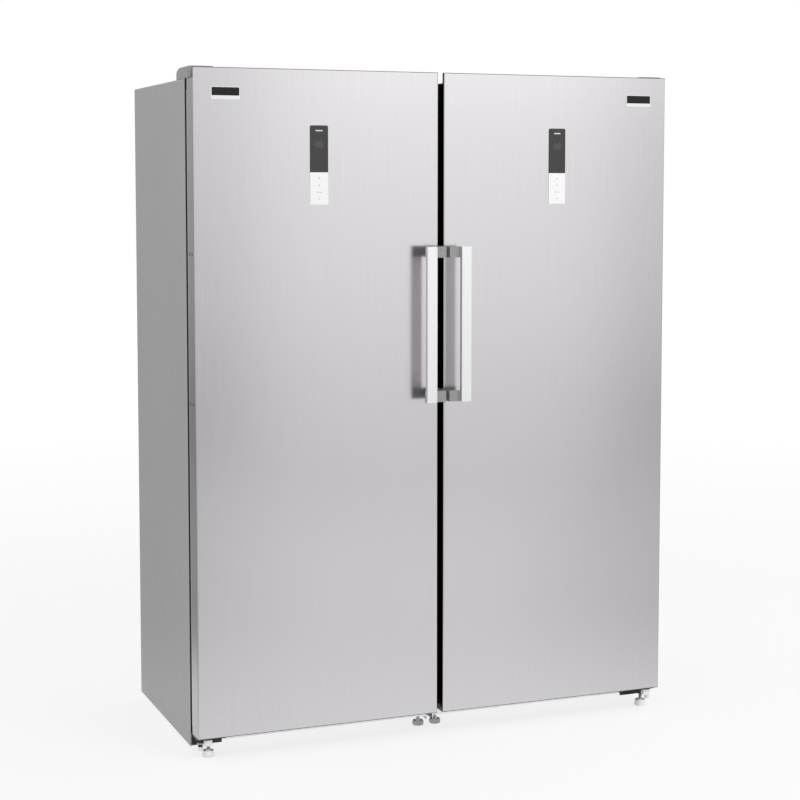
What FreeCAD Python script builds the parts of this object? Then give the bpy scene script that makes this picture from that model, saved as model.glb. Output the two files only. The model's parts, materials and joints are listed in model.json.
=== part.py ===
"""Twin upright columns, a freezer and a refrigerator, that stand side by side.

The freezer is the left-hand column and is hinged on its left. The refrigerator is its mirror
image apart from what is stored inside. +Z is up and the doors face -Y. The origin is on the
floor, under the middle of the pair.
"""
import FreeCAD, Part
import os
import re

import Sketcher

doc = FreeCAD.newDocument("twin_column_refrigerator")

# Driving dimensions in millimetres, each with what it measures.
DIMENSIONS = [
    ("overall_width", 1400, "both columns and the gap between them"),
    ("overall_depth", 720, "handle front to back panel"),
    ("overall_height", 1850, "floor to the top of the hinge covers"),
    ("column_gap", 16, "space between the two columns"),
    ("sheet_gauge", 1, "steel sheet of cabinet and door"),
    ("bend_radius", 4, "outer radius of the folds in that sheet"),
    ("liner_gauge", 2, "formed plastic of the inner liners"),
    ("wall_thickness", 58, "insulated wall from outside to liner"),
    ("cabinet_top", 1820, "top of the cabinet above the floor"),
    ("cabinet_bottom", 20, "lower edge of the cabinet sides"),
    ("plinth_bottom", 30, "lower edge of the plinth lip"),
    ("base_top", 60, "floor of the insulation"),
    ("base_gauge", 2, "steel sheet of the base frame"),
    ("machine_depth", 210, "machine compartment, front to back"),
    ("machine_top", 270, "roof of the machine compartment"),
    ("machine_slope", 70, "rise and run of its sloping front"),
    ("tray_height", 32, "underside of the compressor tray"),
    ("cover_recess", 12, "machine cover behind the back panel's face"),
    ("door_top", 1846, "top edge of the doors"),
    ("door_bottom", 60, "lower edge of the doors"),
    ("door_thickness", 62, "door skin front to liner back"),
    ("gasket_gap", 18, "door back to cabinet front"),
    ("seal_clearance", 0.3, "closed gasket to cabinet front"),
    ("gasket_inset", 20, "gasket from the door's edges"),
    ("gasket_width", 24, "gasket foot"),
    ("gasket_lip", 3, "gasket bulb set in from its foot on each side"),
    ("gasket_foot", 6, "height of the gasket foot"),
    ("top_cap_height", 58, "moulded cap in the door's top"),
    ("bottom_cap_height", 22, "moulded cap in the door's bottom"),
    ("notch_width", 80, "hinge notch in each top corner of the door"),
    ("notch_front", 10, "door front to hinge notch"),
    ("notch_clearance", 2, "notch floor below the cabinet top"),
    ("dyke_inset", 70, "raised rim of the door liner from the door's sides"),
    ("dyke_margin", 12, "raised rim below and above the compartment's ends"),
    ("dyke_width", 30, "width of that rim"),
    ("dyke_height", 16, "reach of that rim into the cabinet"),
    ("hinge_inset", 16, "hinge axis from the outer side"),
    ("hinge_setback", 40, "hinge axis behind the door front"),
    ("pin_diameter", 8, "hinge pins and roller axles"),
    ("running_clearance", 0.06, "radial clearance of pins, axles and studs"),
    ("pin_reach", 20, "hinge pin inside the door cap"),
    ("collar_height", 3.6, "collar that carries the door"),
    ("hinge_gauge", 4, "steel plate of the hinges"),
    ("hinge_plate_width", 52, "top hinge plate across"),
    ("hinge_plate_depth", 76, "top hinge plate front to back"),
    ("hinge_arm_width", 24, "arm of the top hinge"),
    ("cover_length", 90, "hinge cover behind the cabinet front"),
    ("cover_overhang", 34, "hinge cover in front of the cabinet front"),
    ("cover_width", 62, "hinge cover across"),
    ("cover_wall", 2, "hinge cover wall"),
    ("cover_roof", 6, "hinge cover roof and rear wall"),
    ("cover_slope", 45, "rear of the cover that curves down"),
    ("cover_shoulder", 16, "drop of that curve"),
    ("cover_nose", 13, "hinge cover in front of the hinge axis"),
    ("cover_slot", 4, "slot between the cover's side and its nose"),
    ("bracket_width", 84, "lower hinge bracket across"),
    ("bracket_drop", 32, "upright flange of the lower hinge"),
    ("boss_diameter", 17, "boss of the lower hinge pin"),
    ("boss_drop", 12, "that boss below the hinge arm"),
    ("nut_diameter", 12, "lock nut under that boss"),
    ("nut_height", 10, "lock nut under that boss"),
    ("handle_standoff", 64, "handle front to door front"),
    ("handle_length", 426, "handle bar"),
    ("handle_bottom", 946, "lower end of the handle bar"),
    ("handle_width", 30, "handle bar across"),
    ("handle_thickness", 12, "handle bar front to back"),
    ("handle_edge", 1.5, "rounded edges of the handle bar"),
    ("handle_inset", 28, "handle bar to the door's opening edge"),
    ("bracket_height", 30, "each handle bracket"),
    ("bracket_arm", 6, "bracket arm behind the bar"),
    ("bracket_leg", 3, "bracket leg along the door's edge"),
    ("leg_reach", 56, "bracket leg behind the door front"),
    ("screw_diameter", 4, "handle and hinge screws"),
    ("screw_head", 9, "their heads across"),
    ("screw_head_height", 2.4, "their heads"),
    ("screw_play", 0.4, "screw holes over the screws"),
    ("screw_bite", 8, "screws inside the insulation"),
    ("panel_width", 51, "control panel"),
    ("panel_drop", 148, "door top to control panel"),
    ("display_height", 125, "dark display window"),
    ("keypad_height", 86, "white touch-key plate"),
    ("panel_proud", 1.6, "control panel in front of the door skin"),
    ("panel_depth", 12, "control panel behind the door front"),
    ("panel_rim", 3.5, "front plate over the body of the panel"),
    ("display_round", 4.5, "rounded top corners of the display window"),
    ("keypad_round", 2, "rounded bottom corners of the touch-key plate"),
    ("panel_play", 0.3, "cut-out round the body of the panel"),
    ("foot_diameter", 33, "round outer feet"),
    ("foot_height", 18, "disc of an outer foot"),
    ("foot_taper", 1.5, "draft of that disc"),
    ("hexagon_width", 28, "six-sided inner feet across their flats"),
    ("hexagon_height", 13, "hexagon of an inner foot"),
    ("stud_diameter", 10, "stud of a levelling foot"),
    ("stud_top", 50, "top of the stud above the floor"),
    ("hinge_foot_inset", 38, "outer front foot from the outer side"),
    ("hinge_foot_setback", 41, "outer front foot behind the door front"),
    ("inner_foot_inset", 18, "inner front foot from the inner side"),
    ("inner_foot_setback", 22, "inner front foot behind the cabinet front"),
    ("socket_width", 21, "white socket of the outer front foot"),
    ("socket_bottom", 36, "lower face of the foot sockets"),
    ("socket_inset", 21.5, "front block of a socket from the outer side"),
    ("socket_setback", 13.5, "front block of a socket behind the door front"),
    ("roller_diameter", 26, "rear rollers"),
    ("roller_width", 22, "rear rollers"),
    ("roller_inset", 40, "rear rollers from the cabinet's sides"),
    ("roller_setback", 60, "rear rollers from the back panel"),
    ("roller_play", 1, "roller to each side plate"),
    ("roller_plate", 3, "side plates that hold the axles"),
    ("roller_plate_length", 30, "side plates, front to back"),
    ("shelf_first", 345, "lowest shelf above the floor"),
    ("shelf_pitch", 281, "shelf to shelf"),
    ("shelf_gauge", 5, "shelf glass"),
    ("shelf_play", 1, "shelf to each side wall"),
    ("ledge_width", 14, "shelf ledges on the liner"),
    ("ledge_height", 8, "shelf ledges on the liner"),
    ("store_front", 32, "freezer shelves and drawers behind the cabinet front"),
    ("bin_room", 15, "space between door bins and refrigerator shelves"),
    ("duct_depth", 50, "air duct in front of the rear wall"),
    ("duct_wall", 3, "air duct wall"),
    ("freezer_duct_width", 460, "freezer air duct across"),
    ("fridge_duct_width", 300, "refrigerator air duct across"),
    ("duct_bottom", 420, "lower end of the air ducts"),
    ("duct_top", 1700, "upper end of the air ducts"),
    ("vent_length", 90, "vent slots across"),
    ("vent_height", 8, "vent slots"),
    ("vent_pitch", 18, "vent slot to vent slot"),
    ("vent_offset", 70, "vents from the middle of the duct"),
    ("fan_height", 1330, "fan axis above the floor"),
    ("fan_tip", 52, "fan blade tip radius"),
    ("fan_hub", 19, "fan hub radius"),
    ("fan_length", 20, "fan hub along its axis"),
    ("fan_gap", 8, "fan behind the duct's front wall"),
    ("fan_shaft", 6, "fan shaft across"),
    ("blade_gauge", 2, "fan blade"),
    ("motor_length", 14, "fan motor on the rear wall"),
    ("drawer_width", 536, "freezer drawer"),
    ("drawer_height", 245, "freezer drawer"),
    ("low_drawer_height", 195, "drawers on the compartment's floor"),
    ("drawer_wall", 3, "drawers and bins"),
    ("drawer_play", 6, "drawer to the wall behind it"),
    ("grip_width", 180, "finger notch in a drawer front"),
    ("grip_depth", 34, "finger notch in a drawer front"),
    ("crisper_gap", 12, "between the two crisper drawers"),
    ("bin_depth", 105, "door bin front to back"),
    ("bin_height", 110, "door bin"),
    ("bin_first", 170, "lowest door bin above the floor"),
    ("bin_pitch", 300, "door bin to door bin"),
    ("compressor_radius", 78, "compressor shell"),
    ("compressor_height", 150, "compressor shell"),
    ("compressor_offset", 120, "compressor from the middle of its column"),
    ("compressor_plate", 180, "compressor mounting plate across"),
    ("compressor_foot", 12, "rubber feet under that plate"),
    ("coil_tube", 8, "tubes of condenser and evaporator"),
    ("coil_fin", 1.5, "fins of condenser and evaporator"),
    ("coil_width", 200, "condenser across"),
    ("coil_depth", 120, "condenser front to back"),
    ("coil_height", 130, "condenser"),
    ("coil_offset", 140, "condenser from the middle of its column"),
    ("frost_width", 280, "evaporator across"),
    ("frost_depth", 34, "evaporator front to back"),
    ("frost_height", 240, "evaporator"),
    ("frost_bottom", 520, "lower end of the evaporator"),
    ("louvre_width", 150, "louvres in the machine cover"),
    ("louvre_height", 6, "louvres in the machine cover"),
    ("louvre_pitch", 16, "louvre to louvre"),
    ("gland_diameter", 24, "cord gland flange"),
    ("gland_bore", 9, "cord gland bore"),
    ("gland_neck", 14, "cord gland through the cover"),
    ("gland_reach", 10, "cord gland behind the cover"),
    ("gland_height", 120, "cord gland above the floor"),
    ("gland_offset", 250, "cord gland from the middle of its column"),
    ("strip_depth", 30, "joining strip front to back"),
]

sheet = doc.addObject("Spreadsheet::Sheet", "dims")
for row, (alias, size, meaning) in enumerate(DIMENSIONS, start=1):
    sheet.set(f"A{row}", meaning)
    sheet.set(f"B{row}", str(size))
    sheet.setAlias(f"B{row}", alias)
doc.recompute()

ALIASES = {alias for alias, size, meaning in DIMENSIONS}

# Places of the left-hand column, in terms of the driving dimensions.
OUTER = "(-overall_width / 2)"
INNER = "(-column_gap / 2)"
CENTRE = f"(({OUTER} + {INNER}) / 2)"
FRONT = "(handle_standoff - overall_depth / 2)"
DOOR_BACK = f"({FRONT} + door_thickness)"
CABINET_FRONT = f"({DOOR_BACK} + gasket_gap)"
REAR = "(overall_depth / 2)"
SKIN_LEFT = f"({OUTER} + sheet_gauge)"
SKIN_RIGHT = f"({INNER} - sheet_gauge)"
ROOM_LEFT = f"({OUTER} + wall_thickness)"
ROOM_RIGHT = f"({INNER} - wall_thickness)"
ROOM_FLOOR = "(base_top + wall_thickness)"
ROOM_ROOF = "(cabinet_top - wall_thickness)"
ROOM_REAR = f"({REAR} - sheet_gauge - wall_thickness)"
MACHINE_FRONT = f"({REAR} - machine_depth)"
DUCT_FRONT = f"({ROOM_REAR} - liner_gauge - duct_depth)"
LOW_REAR = f"({MACHINE_FRONT} - wall_thickness - liner_gauge)"
STORE_FRONT = f"({CABINET_FRONT} + store_front)"
SHELF_FRONT = f"({DOOR_BACK} + bin_depth + bin_room)"
AXIS_X = f"({OUTER} + hinge_inset)"
AXIS_Y = f"({FRONT} + hinge_setback)"
NOTCH_FLOOR = "(cabinet_top - notch_clearance)"
TOP_CAP_FLOOR = "(door_top - top_cap_height)"
BOTTOM_CAP_ROOF = "(door_bottom + bottom_cap_height)"
PANEL_TOP = "(door_top - panel_drop)"
PANEL_SPLIT = f"({PANEL_TOP} - display_height)"
PANEL_BOTTOM = f"({PANEL_SPLIT} - keypad_height)"
HINGE_ARM_FLOOR = "(base_top - 2 * hinge_gauge)"
TRAY_TOP = "(tray_height + base_gauge)"
SHELF_COUNT = 5
BIN_COUNT = 5


def cells(expression):
    """Point every dimension name in an expression at its cell in the sheet."""

    def to_cell(word):
        name = word.group()
        return "dims." + name if name in ALIASES else name

    return re.sub(r"[a-z][a-z_]*[a-z]", to_cell, str(expression))


def value(expression):
    """Work out an expression of dimension names as a number."""
    return float(sheet.evalExpression(cells(expression)))


def bind(thing, **expressions):
    """Bind properties of an object to expressions; a double underscore stands for a dot."""
    for name, expression in expressions.items():
        thing.setExpression(name.replace("__", "."), cells(expression))
    return thing


def box(name, left, right, front, back, floor, roof):
    """Block between two planes in each direction."""
    block = doc.addObject("Part::Box", name)
    bind(block, Length=f"{right} - {left}", Width=f"{back} - {front}", Height=f"{roof} - {floor}")
    return bind(block, Placement__Base__x=left, Placement__Base__y=front, Placement__Base__z=floor)


TURNS = {
    "X": FreeCAD.Rotation(FreeCAD.Vector(0, 1, 0), 90),
    "Y": FreeCAD.Rotation(FreeCAD.Vector(1, 0, 0), -90),
    "Z": FreeCAD.Rotation(),
}


def rod(name, axis, x, y, z, length, diameter):
    """Cylinder that starts at a point and runs along +X, +Y or +Z."""
    shaft = doc.addObject("Part::Cylinder", name)
    shaft.Placement = FreeCAD.Placement(FreeCAD.Vector(), TURNS[axis])
    bind(shaft, Radius=f"({diameter}) / 2", Height=length)
    return bind(shaft, Placement__Base__x=x, Placement__Base__y=y, Placement__Base__z=z)


def fuse(name, pieces):
    """Join pieces that are one solid in the real object."""
    joined = doc.addObject("Part::MultiFuse", name)
    joined.Shapes = pieces
    return joined


def drill(name, base, tools):
    """Take tools away from a piece."""
    tool = tools[0] if len(tools) == 1 else fuse(name + "_tools", tools)
    result = doc.addObject("Part::Cut", name)
    result.Base = base
    result.Tool = tool
    return result


def group(name, pieces):
    """Hold like pieces together as separate solids."""
    held = doc.addObject("Part::Compound", name)
    held.Links = pieces
    return held


def mirror(name, source):
    """The same piece on the right-hand column."""
    image = doc.addObject("Part::Mirroring", name)
    image.Source = source
    image.Normal = (1, 0, 0)
    return image


def pair(name, source):
    """A piece of the left-hand column and its mirror image."""
    return group(name, [source, mirror(name + "_mirrored", source)])


def rectangle(left, right, low, high):
    """Corners of a rectangle in a sketch plane."""
    return [(left, low), (right, low), (right, high), (left, high)]


def body(name):
    """New empty body."""
    return doc.addObject("PartDesign::Body", name)


def origin_feature(owner, role):
    """Plane or axis of a body's own origin."""
    return next(item for item in owner.Origin.OriginFeatures if item.Role == role)


def sketch(owner, name, plane, place):
    """Empty sketch parallel to an origin plane, at a place along that plane's axis."""
    profile = owner.newObject("Sketcher::SketchObject", name)
    profile.AttachmentSupport = [(origin_feature(owner, plane + "_Plane"), "")]
    profile.MapMode = "FlatFace"
    along = f"-({place})" if plane == "XZ" else place
    return bind(profile, AttachmentOffset__Base__z=along)


def draw_polygon(profile, corners):
    """Closed polygon in a sketch, every corner bound to its two coordinates."""
    points = [FreeCAD.Vector(value(across), value(up), 0) for across, up in corners]
    first = profile.GeometryCount
    count = len(points)
    for index, point in enumerate(points):
        profile.addGeometry(Part.LineSegment(point, points[(index + 1) % count]), False)
    for index, (across, up) in enumerate(corners):
        edge = first + index
        following = first + (index + 1) % count
        profile.addConstraint(Sketcher.Constraint("Coincident", edge, 2, following, 1))
        pin_point(profile, edge, 1, across, up)


def draw_circle(profile, across, up, diameter):
    """Circle in a sketch, bound to its centre and diameter."""
    centre = FreeCAD.Vector(value(across), value(up), 0)
    normal = FreeCAD.Vector(0, 0, 1)
    edge = profile.addGeometry(Part.Circle(centre, normal, value(diameter) / 2), False)
    pin_point(profile, edge, 3, across, up)
    size = profile.addConstraint(Sketcher.Constraint("Diameter", edge, value(diameter)))
    profile.setExpression(f"Constraints[{size}]", cells(diameter))


def pin_point(profile, edge, end, across, up):
    """Bind one point of a sketch to its coordinates."""
    for kind, place in (("DistanceX", across), ("DistanceY", up)):
        index = profile.addConstraint(Sketcher.Constraint(kind, edge, end, value(place)))
        profile.setExpression(f"Constraints[{index}]", cells(place))


def extrude(owner, name, profile, plane, length, cutting):
    """Pad or pocket a sketch towards the positive end of its plane's axis."""
    feature = owner.newObject("PartDesign::Pocket" if cutting else "PartDesign::Pad", name)
    feature.Profile = profile
    bind(feature, Length=length)
    feature.Reversed = (plane == "XZ") != cutting
    profile.Visibility = False
    return feature


def prism(owner, name, plane, start, end, *outlines, cutting=False):
    """Pad or pocket closed outlines from start to end; a second outline is a hole."""
    profile = sketch(owner, name + "_profile", plane, start)
    for corners in outlines:
        draw_polygon(profile, corners)
    return extrude(owner, name, profile, plane, f"{end} - {start}", cutting)


def bore(owner, name, plane, start, end, across, up, diameter, cutting=True):
    """Round hole, or with cutting off a round boss, from start to end."""
    profile = sketch(owner, name + "_profile", plane, start)
    draw_circle(profile, across, up, diameter)
    return extrude(owner, name, profile, plane, f"{end} - {start}", cutting)


def revolve(owner, name, plane, axis, corners):
    """Turn a closed outline round one of the body's origin axes."""
    profile = sketch(owner, name + "_profile", plane, "0")
    draw_polygon(profile, corners)
    turned = owner.newObject("PartDesign::Revolution", name)
    turned.Profile = profile
    turned.ReferenceAxis = (origin_feature(owner, axis + "_Axis"), [""])
    turned.Angle = 360
    return turned


def edges_at(shape, axis, **places):
    """Names of the straight edges that run along an axis through the given coordinates."""
    direction = {"X": FreeCAD.Vector(1, 0, 0), "Y": FreeCAD.Vector(0, 1, 0)}.get(
        axis, FreeCAD.Vector(0, 0, 1))
    near = 0.01
    names = []
    for number, edge in enumerate(shape.Edges, start=1):
        ends = edge.lastVertex().Point - edge.firstVertex().Point
        along = ends.Length > near and ends.getAngle(direction) % 3.14159 < near
        middle = edge.CenterOfMass
        if along and all(abs(getattr(middle, key) - at) < near for key, at in places.items()):
            names.append(f"Edge{number}")
    return names


def soften(owner, name, kind, size, axis, *spots):
    """Fillet or chamfer the edges of a body's tip that run along an axis at the given spots."""
    doc.recompute()
    base = owner.Tip
    names = []
    for spot in spots:
        places = {key: value(place) for key, place in spot.items()}
        names += edges_at(base.Shape, axis, **places)
    if len(names) < len(spots):
        raise RuntimeError(f"{name}: an edge to round is missing")
    feature = owner.newObject("PartDesign::" + kind, name)
    feature.Base = (base, names)
    bind(feature, **{"Radius" if kind == "Fillet" else "Size": size})
    return feature


def shelf_level(index):
    """Height of a shelf's underside."""
    return f"(shelf_first + {index} * shelf_pitch)"


def cabinet_shell():
    """Sides, top and front flange of the cabinet, folded from painted sheet."""
    shell = body("freezer_cabinet_shell")
    outside = rectangle(OUTER, INNER, "cabinet_bottom", "cabinet_top")
    prism(shell, "cabinet_wrap", "XZ", CABINET_FRONT, REAR, outside)
    roof = "(cabinet_top - sheet_gauge)"
    inside = rectangle(SKIN_LEFT, SKIN_RIGHT, "(cabinet_bottom - sheet_gauge)", roof)
    prism(shell, "cabinet_hollow", "XZ", f"({CABINET_FRONT} + sheet_gauge)",
          f"({REAR} + sheet_gauge)", inside, cutting=True)
    soften(shell, "cabinet_inner_folds", "Fillet", "bend_radius - sheet_gauge", "Y",
           {"x": SKIN_LEFT, "z": roof}, {"x": SKIN_RIGHT, "z": roof})
    soften(shell, "cabinet_outer_folds", "Fillet", "bend_radius", "Y",
           {"x": OUTER, "z": "cabinet_top"}, {"x": INNER, "z": "cabinet_top"})
    before = f"({CABINET_FRONT} - sheet_gauge)"
    behind = f"({CABINET_FRONT} + 2 * sheet_gauge)"
    prism(shell, "door_opening", "XZ", before, behind,
          rectangle(ROOM_LEFT, ROOM_RIGHT, ROOM_FLOOR, ROOM_ROOF), cutting=True)
    prism(shell, "plinth_opening", "XZ", before, behind,
          rectangle(SKIN_LEFT, SKIN_RIGHT, "(cabinet_bottom - sheet_gauge)", "base_top"),
          cutting=True)
    return shell


# A sloping wall keeps its thickness when its corners move by this share of it.
MITRE = 0.41421


def room_outline(inset, front):
    """Side view of the food compartment with its step over the machine compartment."""
    gap = f"(wall_thickness + {inset})"
    step_front = f"({MACHINE_FRONT} - {gap})"
    return [
        (front, f"(base_top + {gap})"),
        (step_front, f"(base_top + {gap})"),
        (step_front, f"(machine_top - machine_slope + {MITRE} * {gap})"),
        (f"({MACHINE_FRONT} + machine_slope - {MITRE} * {gap})", f"(machine_top + {gap})"),
        (f"({ROOM_REAR} - {inset})", f"(machine_top + {gap})"),
        (f"({ROOM_REAR} - {inset})", f"(cabinet_top - {gap})"),
        (front, f"(cabinet_top - {gap})"),
    ]


def cabinet_insulation():
    """Foam between cabinet and liner, stepped over the machine compartment."""
    foam = body("freezer_insulation_block")
    front = f"({CABINET_FRONT} + sheet_gauge)"
    back = f"({REAR} - sheet_gauge)"
    top = "(cabinet_top - sheet_gauge)"
    prism(foam, "foam_block", "YZ", SKIN_LEFT, SKIN_RIGHT, [
        (front, "base_top"),
        (MACHINE_FRONT, "base_top"),
        (MACHINE_FRONT, "(machine_top - machine_slope)"),
        (f"({MACHINE_FRONT} + machine_slope)", "machine_top"),
        (back, "machine_top"),
        (back, top),
        (front, top),
    ])
    soften(foam, "foam_edges", "Chamfer", "bend_radius", "Y",
           {"x": SKIN_LEFT, "z": top}, {"x": SKIN_RIGHT, "z": top})
    prism(foam, "foam_room", "YZ", ROOM_LEFT, ROOM_RIGHT, room_outline("0", front), cutting=True)
    return foam


def cabinet_liner():
    """Formed inner liner with ledges for the shelves."""
    liner = body("freezer_liner")
    front = f"({CABINET_FRONT} + sheet_gauge)"
    prism(liner, "liner_block", "YZ", ROOM_LEFT, ROOM_RIGHT, room_outline("0", front))
    left = f"({ROOM_LEFT} + liner_gauge)"
    right = f"({ROOM_RIGHT} - liner_gauge)"
    prism(liner, "liner_room", "YZ", left, right,
          room_outline("liner_gauge", f"({front} - sheet_gauge)"), cutting=True)
    for index in range(SHELF_COUNT):
        level = shelf_level(index)
        ledge = rectangle(STORE_FRONT, DUCT_FRONT, f"({level} - ledge_height)", level)
        prism(liner, f"left_ledge_{index}", "YZ", ROOM_LEFT, f"({left} + ledge_width)", ledge)
        prism(liner, f"right_ledge_{index}", "YZ", f"({right} - ledge_width)", ROOM_RIGHT, ledge)
    return liner


def roller_places():
    """Middles of the two rear rollers across the column."""
    return [f"({OUTER} + roller_inset)", f"({INNER} - roller_inset)"]


ROLLER_Y = f"({REAR} - roller_setback)"
AXLE_Z = "(roller_diameter / 2)"
FOOT_BORE = "(stud_diameter + 2 * running_clearance)"
HINGE_FOOT = (f"({OUTER} + hinge_foot_inset)", f"({FRONT} + hinge_foot_setback)")
INNER_FOOT = (f"({INNER} - inner_foot_inset)", f"({CABINET_FRONT} + inner_foot_setback)")


def lower_screw_places():
    """Across and up places of the screws in the lower hinge's upright flange."""
    low = "(base_top - bracket_drop / 2 - hinge_gauge)"
    return [(f"({OUTER} + bracket_width / 5)", low), (f"({OUTER} + bracket_width * 9 / 10)", low)]


def base_frame():
    """Folded base: plinth lip, floor, step, tray and side plates, with foot and roller mounts."""
    base = body("freezer_base_frame")
    front = CABINET_FRONT
    back = f"({REAR} - sheet_gauge)"
    under = "(base_top - base_gauge)"
    prism(base, "folded_floor", "YZ", SKIN_LEFT, SKIN_RIGHT, [
        (front, "plinth_bottom"),
        (f"({front} + base_gauge)", "plinth_bottom"),
        (f"({front} + base_gauge)", under),
        (f"({MACHINE_FRONT} - base_gauge)", under),
        (f"({MACHINE_FRONT} - base_gauge)", "tray_height"),
        (back, "tray_height"),
        (back, TRAY_TOP),
        (MACHINE_FRONT, TRAY_TOP),
        (MACHINE_FRONT, "base_top"),
        (front, "base_top"),
    ])
    side_plate = [
        (front, "cabinet_bottom"),
        (back, "cabinet_bottom"),
        (back, "machine_top"),
        (f"({MACHINE_FRONT} + machine_slope)", "machine_top"),
        (MACHINE_FRONT, "(machine_top - machine_slope)"),
        (MACHINE_FRONT, "base_top"),
        (front, "base_top"),
    ]
    prism(base, "left_side_plate", "YZ", SKIN_LEFT, f"({SKIN_LEFT} + base_gauge)", side_plate)
    prism(base, "right_side_plate", "YZ", f"({SKIN_RIGHT} - base_gauge)", SKIN_RIGHT, side_plate)
    foot_x, foot_y = INNER_FOOT
    block = rectangle(f"({foot_x} - inner_foot_inset + sheet_gauge)", SKIN_RIGHT,
                      f"({front} + base_gauge)", f"({foot_y} + inner_foot_setback)")
    prism(base, "foot_boss", "XY", "plinth_bottom", under, block)
    bore(base, "foot_boss_bore", "XY", "plinth_bottom", "base_top", foot_x, foot_y, FOOT_BORE)
    reach = "(roller_width / 2 + roller_play)"
    plate = rectangle(f"({ROLLER_Y} - roller_plate_length / 2)",
                      f"({ROLLER_Y} + roller_plate_length / 2)",
                      f"({AXLE_Z} - pin_diameter)", "tray_height")
    for side, middle in enumerate(roller_places()):
        prism(base, f"roller_plate_left_{side}", "YZ", f"({middle} - {reach} - roller_plate)",
              f"({middle} - {reach})", plate)
        prism(base, f"roller_plate_right_{side}", "YZ", f"({middle} + {reach})",
              f"({middle} + {reach} + roller_plate)", plate)
        bore(base, f"axle_bore_{side}", "YZ", f"({middle} - {reach} - roller_plate)",
             f"({middle} + {reach} + roller_plate)", ROLLER_Y, AXLE_Z,
             "(pin_diameter + screw_play)")
    for index, (across, up) in enumerate(lower_screw_places()):
        bore(base, f"hinge_screw_hole_{index}", "XZ", front, f"({front} + base_gauge)",
             across, up, "(screw_diameter + screw_play)")
    return base


def roller_axle(name, middle):
    """Fixed steel axle between the two side plates of a rear roller."""
    half = "(roller_width / 2 + roller_play + roller_plate)"
    return rod(name, "X", f"({middle} - {half})", ROLLER_Y, AXLE_Z, f"2 * {half}", "pin_diameter")


def rear_roller(name, middle):
    """Plastic roller with chamfered rims, free to turn on its axle."""
    roller = body(name)
    half = "(roller_width / 2)"
    hole = "(pin_diameter / 2 + running_clearance)"
    rim = "(roller_diameter / 2)"
    edge = "(roller_play)"
    revolve(roller, name + "_turned", "XY", "X", [
        (f"-{half}", hole),
        (half, hole),
        (half, f"({rim} - {edge})"),
        (f"({half} - {edge})", rim),
        (f"({edge} - {half})", rim),
        (f"-{half}", f"({rim} - {edge})"),
    ])
    return bind(roller, Placement__Base__x=middle, Placement__Base__y=ROLLER_Y,
                Placement__Base__z=AXLE_Z)


def back_panel():
    """Sheet that closes the cabinet at the rear, with its top corners in the folds of the wrap."""
    panel = body("freezer_back_panel")
    roof = "(cabinet_top - sheet_gauge)"
    prism(panel, "back_sheet", "XZ", f"({REAR} - sheet_gauge)", REAR,
          rectangle(SKIN_LEFT, SKIN_RIGHT, "machine_top", roof))
    soften(panel, "back_sheet_corners", "Fillet", "bend_radius - sheet_gauge", "Y",
           {"x": SKIN_LEFT, "z": roof}, {"x": SKIN_RIGHT, "z": roof})
    return panel


def round_foot():
    """Outer foot: a round disc with its stud, screwed up into the socket."""
    foot = body("freezer_hinge_foot")
    rim = "(foot_diameter / 2)"
    stud = "(stud_diameter / 2)"
    revolve(foot, "round_foot_turned", "XZ", "Z", [
        ("0", "0"),
        (f"({rim} - foot_taper)", "0"),
        (rim, "foot_taper"),
        (rim, "(foot_height / 3)"),
        (f"({rim} - foot_taper)", "foot_height"),
        (stud, "foot_height"),
        (stud, "stud_top"),
        ("0", "stud_top"),
    ])
    return bind(foot, Placement__Base__x=HINGE_FOOT[0], Placement__Base__y=HINGE_FOOT[1])


def hexagon_foot():
    """Inner foot: a low hexagon for a spanner with its stud, screwed up into the base."""
    foot = body("freezer_inner_foot")
    flat = "(hexagon_width / 2)"
    corner = "(hexagon_width / sqrt(3))"
    prism(foot, "foot_hexagon", "XY", "0", "hexagon_height", [
        ("0", f"-{corner}"),
        (flat, f"-{corner} / 2"),
        (flat, f"{corner} / 2"),
        ("0", corner),
        (f"-{flat}", f"{corner} / 2"),
        (f"-{flat}", f"-{corner} / 2"),
    ])
    bore(foot, "hexagon_stud", "XY", "hexagon_height", "stud_top", "0", "0", "stud_diameter",
         cutting=False)
    return bind(foot, Placement__Base__x=INNER_FOOT[0], Placement__Base__y=INNER_FOOT[1])


def foot_socket():
    """White moulded socket under the lower hinge: it takes the outer foot's stud, and a block on its
    front reaches forward under the door."""
    socket = body("freezer_foot_socket")
    across, along = HINGE_FOOT
    half = "(socket_width / 2)"
    outside = f"({OUTER} + socket_inset)"
    joint = f"({along} - {half})"
    prism(socket, "socket_block", "XY", "socket_bottom", HINGE_ARM_FLOOR, [
        (outside, f"({FRONT} + socket_setback)"),
        (f"({outside} + socket_width)", f"({FRONT} + socket_setback)"),
        (f"({outside} + socket_width)", joint),
        (f"({across} + {half})", joint),
        (f"({across} + {half})", f"({along} + {half})"),
        (f"({across} - {half})", f"({along} + {half})"),
        (f"({across} - {half})", joint),
        (outside, joint),
    ])
    bore(socket, "socket_bore", "XY", "socket_bottom", HINGE_ARM_FLOOR, across, along, FOOT_BORE)
    return socket


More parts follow.
